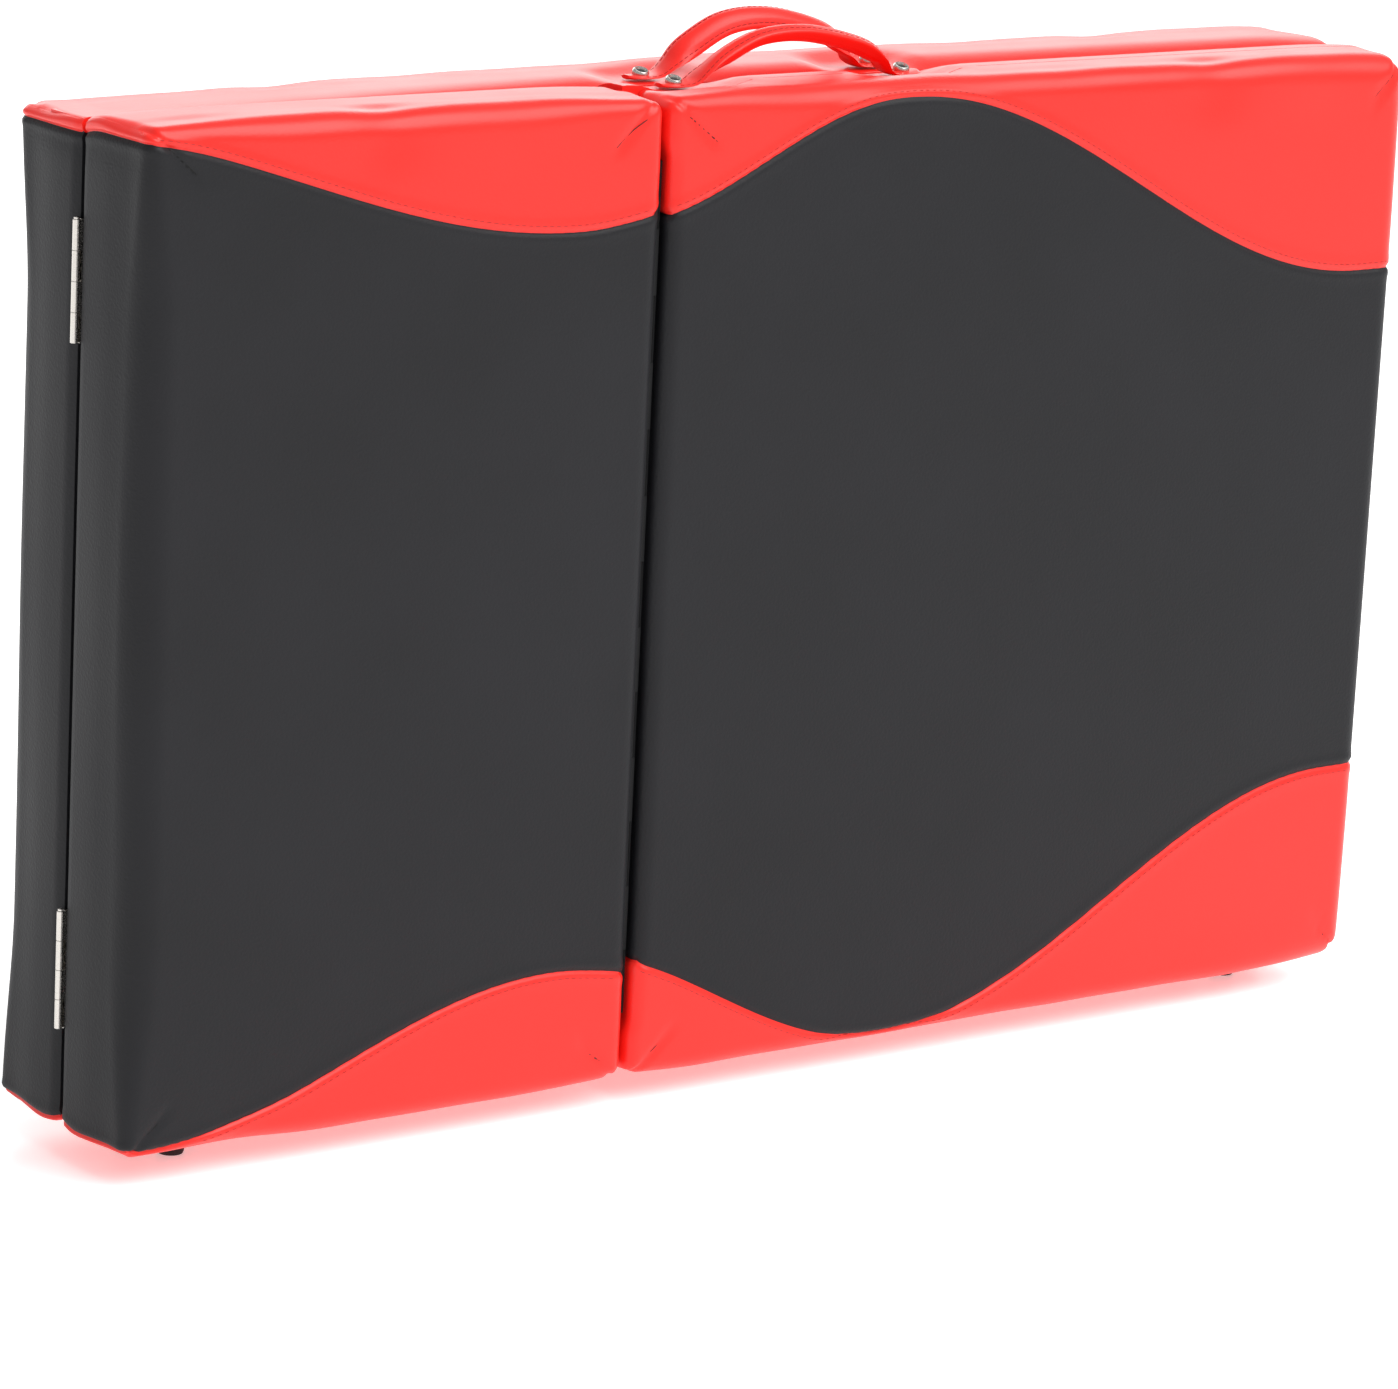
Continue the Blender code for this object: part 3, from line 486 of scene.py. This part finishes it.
    def open_slot_end(self, points):
        """Hems the slot end's wall at the deck, so that the rails run on past it."""
        points = points.copy()
        x, depth, z, inset = points.T
        inside = (z > Z_LOW + TINY) & (z < Z_TOP - TINY)
        hem = (np.abs(x - self.x1) < TINY) & (depth < DECK_BACK) & inside
        points[:, 1] = np.where(hem, HEM, depth)
        points[:, 3] = np.where(hem & (inset > 0), SKIN, inset)
        return points

    def inner(self, points):
        """The square inside of the skirt and of its turned-in edge."""
        x, depth, z, inset = points.T
        end_inset = np.minimum(inset, SKIN) if self.open_end else inset
        x = np.clip(x, self.x0 + END_DROP + inset, self.x1 - END_DROP - end_inset)
        z = np.clip(z, Z_LOW + SKIRT_DROP + inset, Z_TOP - SKIRT_DROP - inset)
        return np.stack([x, depth, z], axis=1)

    def relief(self, x, y, z, points):
        """How far the surface stands out of, or sinks into, the plain rounded shape."""
        face = smooth(FACE - EDGE_ROUND, FACE - 0.004, y)
        foam = smooth(DECK_BACK + 0.010, DECK_BACK + 0.022, y)
        end = smooth(*NEAR_END, self.from_end(x))
        top, bottom = (near(edge, RIPPLED, z) for edge in (Z_TOP, Z_LOW))
        across = (x - (self.x0 + self.x1) / 2) / ((self.x1 - self.x0) / 2)
        up = (z - Z_MID) / ((Z_TOP - Z_LOW) / 2)
        out = face * CROWN * (1 - np.abs(across) ** 3) * (1 - np.abs(up) ** 3)
        ripple = 0.5 * np.sin(x * 19.0 + 0.7) + 0.35 * np.sin(x * 43.0 + 2.1 * self.side)
        ripple = ripple + 0.18 * np.sin(x * 91.0 + z * 40.0)
        out = out + RIPPLE * ripple * foam * (top + 0.6 * bottom)
        swell = smooth(0.004, 0.060, y) * (1 - face)
        out = out + END_RIPPLE * end * swell * np.sin(z * 19.0 + 1.3) * (1 - top) * (1 - bottom)
        for place_x in PINCHES:
            out = out - PINCH * bump(x, place_x, PINCH_WIDTH) * top * foam
        gap = self.seam_gap(x, points)
        pucker = 1 + 0.25 * np.sin(x * 780)
        out = out - GROOVE_DEPTH * pucker * bump(gap, 0, GROOVE_WIDTH) + ROLL * bump(gap, ROLL_AT, ROLL_WIDTH)
        return out - DART_DEPTH * self.darts(x, y, z)

    def seam_gap(self, x, points):
        """Distance to the nearest wave seam, or far away on the upper and lower walls."""
        gap = np.full_like(x, 1.0)
        for knots, edge, up in ((self.waves[0], Z_TOP, -1), (self.waves[1], Z_LOW, 1)):
            seam = edge + up * wave(points[:, 0], knots)
            lean = 1 / np.sqrt(1 + wave_slope(x, knots) ** 2)
            gap = np.minimum(gap, np.abs(points[:, 2] - seam) * lean)
        off_wall = (points[:, 2] < Z_TOP - TINY) & (points[:, 2] > Z_LOW + TINY)
        return np.where(off_wall, gap, 1.0)

    def darts(self, x, y, z):
        """Sewn darts that run in from the corners of the face: 1 at the bottom of each."""
        depth = np.zeros_like(x)
        face = smooth(FACE - EDGE_ROUND * 0.9, FACE - 0.006, y)
        for corner_x, toward in ((self.x0, 1), (self.x1, -1)):
            for corner_z, up in ((Z_TOP, -1), (Z_LOW, 1)):
                u = (x - corner_x) * toward
                w = (z - corner_z) * up
                reach = smooth(DART_END + 0.004, DART_END - 0.006, (u + w) / 2)
                depth = depth + bump(np.abs(u - w) / math.sqrt(2), 0, DART_WIDTH) * reach * face
        return depth


def rows_at(x, waves=WAVES):
    """Heights of the grid's rows at one x: lower band, middle and upper band."""
    high = Z_TOP - float(wave(x, waves[0]))
    low = Z_LOW + float(wave(x, waves[1]))
    lower = spaced(Z_LOW, low, BAND_ROWS, 0.9)
    middle_rows = spaced(low, high, MIDDLE_ROWS, 0.85)
    upper = spaced(high, Z_TOP, BAND_ROWS, 0.9)
    return np.concatenate([lower, middle_rows[1:-1], upper])


TURNED_IN = [(COVER_BACK, FLANGE), (TUCKED, FLANGE), (TUCKED, SKIN)]


def wall_profile(pad):
    """Rows of a cushion's walls as (depth, inset), from the face down and in over the rails."""
    depths = np.concatenate([spaced(FACE, FACE - EDGE_ROUND, ROUND_ROWS, 0.4)[:-1],
                             np.linspace(FACE - EDGE_ROUND, WALL_END, WALL_ROWS + 1)[:-1],
                             np.linspace(WALL_END, pad.back, SKIRT_ROWS + 1 if pad.skirted else 1)])
    edge = TURNED_IN if pad.skirted else [(pad.back, SKIN)]
    return [(depth, 0.0) for depth in depths] + edge + [(UNDERSIDE, SKIN)]


class Numbering:
    """Numbers points as they come, and gives equal points the same number."""

    def __init__(self):
        self.numbers, self.points = {}, []

    def of(self, point):
        key = tuple(round(value, 7) for value in point)
        if key not in self.numbers:
            self.numbers[key] = len(self.points)
            self.points.append(point)
        return self.numbers[key]


def two_tone(row):
    """1 for the rows of the dark middle."""
    return int(BAND_ROWS <= row < BAND_ROWS + MIDDLE_ROWS)


def pad_faces(pad, columns):
    """Points, faces and material numbers of the cushion's face and four walls, as a sharp box."""
    xs = spaced(pad.x0, pad.x1, columns, 0.7)
    walls = wall_profile(pad)
    face = [[(x, FACE, z, 0.0) for z in rows_at(x, pad.waves)] for x in xs]
    top, bottom = ([[(x, depth, z, inset) for depth, inset in walls] for x in xs] for z in (Z_TOP, Z_LOW))
    ends = [[[(x, depth, z, inset) for z in rows_at(x, pad.waves)] for depth, inset in walls]
            for x in (pad.x0, pad.x1)]
    numbering, faces, paints = Numbering(), [], []
    for grid, flip, banded in ((face, False, True), (top, True, False), (bottom, False, False),
                               (ends[0], True, True), (ends[1], False, True)):
        ids = [[numbering.of(point) for point in line] for line in grid]
        for first, second in zip(ids, ids[1:]):
            for row in range(len(first) - 1):
                quad = (first[row], second[row], second[row + 1], first[row + 1])
                faces.append(quad[::-1] if flip else quad)
                paints.append(two_tone(row) if banded else 0)
    return np.array(numbering.points, float), faces, paints


def add_cushion(name, pad, columns, body, nodes):
    """The cushion's mesh: the face, four walls, the turned-in edge and the back."""
    points, faces, paints = pad_faces(pad, columns)
    mesh = bpy.data.meshes.new(name)
    mesh.from_pydata([tuple(spot) for spot in pad.skin(points)], [], faces)
    mesh.materials.append(red_leather)
    mesh.materials.append(black_leather)
    mesh.polygons.foreach_set("material_index", paints)
    shape = bmesh.new()
    shape.from_mesh(mesh)
    bmesh.ops.remove_doubles(shape, verts=shape.verts, dist=2e-5)
    bmesh.ops.dissolve_degenerate(shape, edges=shape.edges, dist=TINY)
    rim = [edge for edge in shape.edges if edge.is_boundary]
    for made in bmesh.ops.holes_fill(shape, edges=rim, sides=0)["faces"]:
        made.material_index = 1
    bmesh.ops.recalc_face_normals(shape, faces=shape.faces)
    shape.to_mesh(mesh)
    shape.free()
    made = add_object(name, mesh, body)
    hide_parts(*nodes)


def add_topstitching(name, pad, body):
    """Stitches on the bright side of the wave, one short thread at a time."""
    shape = bmesh.new()
    xs = np.arange(pad.x0 + 0.006, pad.x1 - 0.006, 0.0004)
    for knots, edge, up in ((pad.waves[0], Z_TOP, -1), (pad.waves[1], Z_LOW, 1)):
        slope = wave_slope(xs, knots)
        lean = 1 / np.sqrt(1 + slope ** 2)
        depth = wave(xs, knots) - STITCH_OFFSET * lean
        line = np.stack([xs + STITCH_OFFSET * slope * lean, np.full_like(xs, FACE), edge + up * depth,
                         np.zeros_like(xs)], axis=1)[depth > STITCH_FROM_EDGE]
        places = np.arange(len(line))
        lengths = lengths_along(line)
        for start in np.arange(0, lengths[-1] - STITCH_LENGTH, STITCH_PITCH):
            at = np.interp(start + STITCH_LENGTH * np.array([0, 0.5, 1]), lengths, places)
            spots = pad.skin(np.stack([np.interp(at, places, column) for column in line.T], axis=1))
            spots[:, 1] += STITCH_RISE * pad.side
            add_thread(shape, [Vector(spot) for spot in spots], STITCH_THREAD)
    add_object(name, mesh_of(name, shape, red_thread), body)


def add_dart_lines(name, pad, body):
    """The sewn line at the bottom of each dart, black where the cushion's corners are black; elsewhere its
    dark red also paints the shade in the dart's crease.
    """
    shape = bmesh.new()
    for x, toward in ((pad.x0, 1), (pad.x1, -1)):
        for z, up, start, end in DART_LINES:
            along = np.linspace(start, end, 9)
            line = np.stack([x + toward * along, np.full_like(along, FACE), z + up * along * DART_SLANT,
                             np.zeros_like(along)], axis=1)
            spots = pad.skin(line)
            spots[:, 1] -= 0.00008 * pad.side
            bands = add_thread(shape, [Vector(spot) for spot in spots], DART_THREAD)
            paint(bands, lambda index: x == X_LEFT)
    add_object(name, mesh_of(name, shape, dart_thread_and_crease_shade, black_thread), body)


def add_rail_wrap(start):
    """The leather over the front half's rails, from the fixed cushion to the free end."""
    pad = Pad(X_LEFT, X_RIGHT, -1, COVER_BACK)
    depths = np.linspace(OVER_RAILS, COVER_BACK, 6)
    profile = [(depth, 0.0) for depth in depths] + TURNED_IN
    profile += [(depth, SKIN) for depth in depths[::-1][1:]]
    path = [(x, Z_TOP) for x in spaced(start, X_RIGHT, WRAP_COLUMNS, 0.7)]
    path += [(X_RIGHT, z) for z in rows_at(X_RIGHT)[::-1][1:-1]]
    path += [(x, Z_LOW) for x in spaced(X_RIGHT, start, WRAP_COLUMNS, 0.7)]
    spots = pad.skin(np.array([(x, depth, z, inset) for x, z in path for depth, inset in profile], float))
    shape = bmesh.new()
    rings = [[shape.verts.new(spot) for spot in ring] for ring in spots.reshape(len(path), -1, 3)]
    high_seam, low_seam = Z_TOP - float(wave(X_RIGHT, WAVES[0])), Z_LOW + float(wave(X_RIGHT, WAVES[1]))

    def on_the_dark(index):
        on_the_end = path[index][0] > X_RIGHT - TINY
        return on_the_end and low_seam < (path[index][1] + path[index + 1][1]) / 2 < high_seam

    paint(loft(shape, rings), on_the_dark)
    bmesh.ops.remove_doubles(shape, verts=shape.verts, dist=TINY)
    bmesh.ops.recalc_face_normals(shape, faces=shape.faces)
    mesh = mesh_of("front_rail_wrap", shape, red_leather, black_leather)
    add_object("front_rail_wrap", mesh, "front_half")


def add_slot_skin(name, rail_z, up):
    """Leather over the rail at one end of the slot, sagging a little between the cushions."""
    x0, x1 = seat_high.x - 0.001, back_low.x + 0.0015
    width, under, over = 0.0300, DECK_BACK + 0.0002, DECK_BACK + 0.0046
    shape = bmesh.new()
    rings = []
    for t in np.linspace(0, 1, 9):
        sagged = over - 0.0010 * math.sin(math.pi * t)
        corners = ((under, 0.0004), (sagged, 0.0012), (sagged, width), (under, width))
        rings.append([shape.verts.new((x0 + (x1 - x0) * t, -depth, rail_z + up * rise))
                      for depth, rise in corners])
    loft(shape, rings)
    bmesh.ops.recalc_face_normals(shape, faces=shape.faces)
    add_object(name, mesh_of(name, shape, red_leather), "front_half")


def add_upholstery():
    pads = {"rear": Pad(X_LEFT, X_RIGHT, 1, COVER_BACK),
            "seat": Pad(seat_low.x, seat_high.x, -1, COVER_BACK, lips=(0.0, SEAT_LIP)),
            "backrest": Pad(back_low.x, back_high.x, -1, DECK_BACK + 0.001, BACKREST_WAVES, (BACK_LIP, 0.0))}
    bodies = {"rear": "rear_half", "seat": "front_half", "backrest": "backrest"}
    columns = {"rear": 190, "seat": 90, "backrest": 130}
    for name, pad in pads.items():
        add_cushion(name + "_cushion", pad, columns[name], bodies[name], (name + "_cover", name + "_foam"))
    for name, pad in pads.items():
        add_topstitching(name + "_topstitching", pad, bodies[name])
        add_dart_lines(name + "_darts", pad, bodies[name])
    add_rail_wrap(pads["seat"].x1 + 0.0003)
    add_slot_skin("slot_skin_high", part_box("front_top_rail")[1].z, -1)
    add_slot_skin("slot_skin_low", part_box("front_bottom_rail")[0].z, 1)


# ---- Handles -----------------------------------------------------------------------------------
HANDLES = {"rear": (0.0325, 38.0), "front": (0.0280, 14.0)}    # rise, and how far the strap leans over
HANDLE_REACH = 0.085                   # from the strap's middle to a screw
TAB_PAST_SCREW = 0.011
TAB_LEVEL = 0.0022                     # height of the tabs' middle
TAB_UNDER_SCREW = 0.0017               # the strap's height 0 lies this far under the screws
ROLL_FROM = 0.004                      # the strap is flat up to this height, and rolled half-way up
TAB_THICK, TAB_WIDE = 0.0013, 0.0098   # half of each
ROLLED_THICK, ROLLED_WIDE = 0.0051, 0.0092     # and in the rolled middle
TAB_TAPER = (0.45, 0.72, 0.88, 0.97)   # of the width at the first sections from each end
STRAP_SIDES = 28
WELT_AT, WELT_WIDTH = 0.74, 0.07       # groove beside each welt, as parts of the half width
WELT_DEPTH = 0.0009
STRAP_STITCH, STRAP_PITCH, STRAP_THREAD = 0.0030, 0.0042, 0.00032
STRAP_SEAM = (0.012, 0.014)            # the seam's start and its end, from the strap's two ends


def curve_through(knots, steps):
    """Catmull-Rom curve through the knots."""
    path = []
    for index in range(len(knots) - 1):
        before, here = knots[max(index - 1, 0)], knots[index]
        there, after = knots[index + 1], knots[min(index + 2, len(knots) - 1)]
        for t in (step / steps for step in range(steps)):
            path.append(0.5 * ((2 * here) + (there - before) * t
                               + (2 * before - 5 * here + 4 * there - after) * t * t
                               + (3 * here - before - 3 * there + after) * t * t * t))
    return path + [knots[-1]]


def handle_line(rise):
    """Middle line of a handle, as (along, up) from the level of its tabs."""
    reach, tab = HANDLE_REACH, TAB_LEVEL
    knots = [(-reach - TAB_PAST_SCREW, tab), (-reach + 0.009, tab), (-reach + 0.020, tab + 0.006),
             (-reach + 0.034, rise * 0.55), (-reach * 0.28, rise * 0.95), (reach * 0.12, rise),
             (reach * 0.55, rise * 0.72), (reach - 0.020, tab + 0.009), (reach - 0.010, tab),
             (reach + TAB_PAST_SCREW, tab)]
    return curve_through([Vector(knot) for knot in knots], 8)


def padding(flat):
    """Thickness of the strap's section across its width, as a part of the thickest."""
    return 0.30 + 0.70 * (1 - abs(flat) ** 3.0)


def strap_outline(thick, wide, roll):
    """Outline of the strap's section as (across, out), with a groove beside each welt."""
    outline = []
    for step in range(STRAP_SIDES):
        angle = 2 * math.pi * step / STRAP_SIDES
        c, s = math.cos(angle), math.sin(angle)
        flat = math.copysign(abs(c) ** 0.75, c)
        out = thick * math.copysign(abs(s) ** 0.8, s) * padding(flat)
        groove = WELT_DEPTH * roll * bump(abs(flat), WELT_AT, WELT_WIDTH)
        outline.append((wide * flat, out - math.copysign(groove, s)))
    return outline


def strap_spot(centre, along, lean, across, out):
    """A point of the strap's section, which leans over round the strap's line."""
    over = across * math.cos(lean) - out * math.sin(lean)
    up = out * math.cos(lean) + across * math.sin(lean)
    return centre + Vector((-along.y * up, over, along.x * up))


def add_handle(half):
    """A padded strap: a rolled middle with a sewn welt along each edge, and flat tabs."""
    rise, most_lean = HANDLES[half]
    foot = middle(half + "_handle")
    foot.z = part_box(f"{half}_handle_screw_left")[0].z - TAB_UNDER_SCREW
    path = handle_line(rise)
    shape = bmesh.new()
    rings = []
    seams = {1: [], -1: []}
    for index, point in enumerate(path):
        before, after = path[max(index - 1, 0)], path[min(index + 1, len(path) - 1)]
        along = (after - before).normalized()
        roll = float(smooth(ROLL_FROM, ROLL_FROM + rise / 2, point.y))
        thick = TAB_THICK + (ROLLED_THICK - TAB_THICK) * roll
        wide = TAB_WIDE + (ROLLED_WIDE - TAB_WIDE) * roll
        lean = math.copysign(math.radians(most_lean) * roll, foot.y)
        end = min(index, len(path) - 1 - index)
        if end < len(TAB_TAPER):
            wide *= TAB_TAPER[end]
        centre = foot + Vector((point.x, 0, point.y + (thick - TAB_THICK) * 0.2))
        rings.append([shape.verts.new(strap_spot(centre, along, lean, across, out))
                      for across, out in strap_outline(thick, wide, roll)])
        lift = thick * 0.66 * padding(WELT_AT) + 0.0001
        for sign, seam in seams.items():
            seam.append(strap_spot(centre, along, lean, wide * WELT_AT * sign, lift))
    loft(shape, rings)
    bmesh.ops.recalc_face_normals(shape, faces=shape.faces)
    name = half + "_carry_handle"
    made = add_object(name, mesh_of(name, shape, red_leather), half + "_half")
    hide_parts(half + "_handle")
    add_strap_stitches(half, seams.values())


def add_strap_stitches(half, seams):
    shape = bmesh.new()
    for seam in seams:
        line = np.array([tuple(spot) for spot in seam])
        lengths = lengths_along(line)
        for start in np.arange(STRAP_SEAM[0], lengths[-1] - STRAP_SEAM[1], STRAP_PITCH):
            at = start + STRAP_STITCH * np.array([0, 0.5, 1])
            spots = np.stack([np.interp(at, lengths, column) for column in line.T], axis=1)
            add_thread(shape, [Vector(spot) for spot in spots], STRAP_THREAD)
    name = half + "_handle_stitching"
    add_object(name, mesh_of(name, shape, red_thread), half + "_half")


# The screw and its cup washer, as (radius, height): from the middle of the head out over the washer,
# and back underneath.
CUP = ((0.0, 0.0012), (0.0020, 0.0010), (0.0027, 0.0005), (0.0030, 0.0004), (0.0036, 0.0016),
       (0.0042, 0.0017), (0.0050, 0.0008), (0.0052, 0.0), (0.0050, -0.0022), (0.0, -0.0022))
CUP_DARK = 3                           # bands of the profile that belong to the screw
CUP_TILT = Matrix.Rotation(math.radians(20), 3, "X")
CUP_RISE = 0.0030                      # from the lowest point of the CAD screw
CUP_SIDES = 40
RECESS_DEPTH, RECESS_RADIUS = 0.0009, 0.0022


def add_screw(name, body):
    """A dished washer round a dark countersunk screw with a crossed recess."""
    foot = middle(name)
    foot.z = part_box(name)[0].z + CUP_RISE
    shape = bmesh.new()
    rings = []
    for radius, up in CUP:
        ring = []
        for step in range(CUP_SIDES if radius else 1):
            angle = 2 * math.pi * step / CUP_SIDES
            cross = abs(math.cos(2 * angle)) ** 6 if radius else 0.0
            cut = RECESS_DEPTH * max(0.0, 1 - radius / RECESS_RADIUS) * cross
            spot = Vector((radius * math.cos(angle), radius * math.sin(angle), up - cut))
            ring.append(shape.verts.new(foot + CUP_TILT @ spot))
        rings.append(ring)
    paint(loft(shape, rings), lambda index: index < CUP_DARK)
    bmesh.ops.recalc_face_normals(shape, faces=shape.faces)
    mesh = mesh_of(name + "_cup", shape, SLOT_LOOKS["nickel"], dark_screw)
    made = add_object(name + "_cup", mesh, body)
    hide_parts(name)


# ---- Studio ------------------------------------------------------------------------------------
VIEW_YAW, VIEW_PITCH, VIEW_ROLL = math.radians(36.44), math.radians(13.97), math.radians(2.81)
VIEW_DISTANCE = 3.751
VIEW_TARGET = Vector((-0.0193, 0.0, 0.2293))
LENS, SENSOR = 157.3, 36.0             # in millimetres
FLOOR_HALF = 40


def add_camera():
    data = bpy.data.cameras.new("camera")
    camera = bpy.data.objects.new("camera", data)
    bpy.context.scene.collection.objects.link(camera)
    data.sensor_width = SENSOR
    data.lens = LENS
    forward = Vector((math.sin(VIEW_YAW) * math.cos(VIEW_PITCH),
                      math.cos(VIEW_YAW) * math.cos(VIEW_PITCH), -math.sin(VIEW_PITCH)))
    right = Vector((math.cos(VIEW_YAW), -math.sin(VIEW_YAW), 0))
    up = right.cross(forward)
    right, up = (math.cos(VIEW_ROLL) * right + math.sin(VIEW_ROLL) * up,
                 math.cos(VIEW_ROLL) * up - math.sin(VIEW_ROLL) * right)
    turn = Matrix((right, up, -forward)).transposed().to_4x4()
    camera.matrix_world = Matrix.Translation(VIEW_TARGET - forward * VIEW_DISTANCE) @ turn
    data.clip_end = 100
    bpy.context.scene.camera = camera


def add_light(name, kind, spot, facing, energy, **values):
    data = bpy.data.lights.new(name, kind)
    data.energy = energy
    for key, value in values.items():
        setattr(data, key, value)
    light = bpy.data.objects.new(name, data)
    light.location = spot
    light.rotation_euler = Vector(facing).to_track_quat("-Z", "Y").to_euler()
    bpy.context.scene.collection.objects.link(light)


def add_studio():
    shape = bmesh.new()
    bmesh.ops.create_grid(shape, x_segments=1, y_segments=1, size=FLOOR_HALF)
    look = new_material("floor", (0.95, 0.95, 0.95), 0.30, Specular_IOR_Level=0.3,
                        Emission_Color=(1, 1, 1, 1), Emission_Strength=0.38)
    floor = bpy.data.objects.new("floor", mesh_of("floor", shape, look))
    bpy.context.scene.collection.objects.link(floor)
    world = bpy.data.worlds.new("studio")
    bpy.context.scene.world = world
    world.use_nodes = True
    sky = world.node_tree.nodes["Background"]
    sky.inputs["Color"].default_value = (1, 1, 1, 1)
    sky.inputs["Strength"].default_value = 0.50
    bpy.context.scene.view_settings.view_transform = "Standard"
    add_light("behind", "AREA", (1.6, 3.4, 1.75), (-1.6, -3.4, -1.15), 60,
              shape="RECTANGLE", size=5.0, size_y=1.6)
    add_light("key", "SUN", (0, 0, 0), (-0.40, 0.70, -1.0), 2.9, angle=math.radians(55))


add_camera()
dress_frame()
add_upholstery()
for half_name in HANDLES:
    add_handle(half_name)
    for end in ("left", "right"):
        add_screw(f"{half_name}_handle_screw_{end}", half_name + "_half")
add_studio()
bpy.context.view_layer.update()
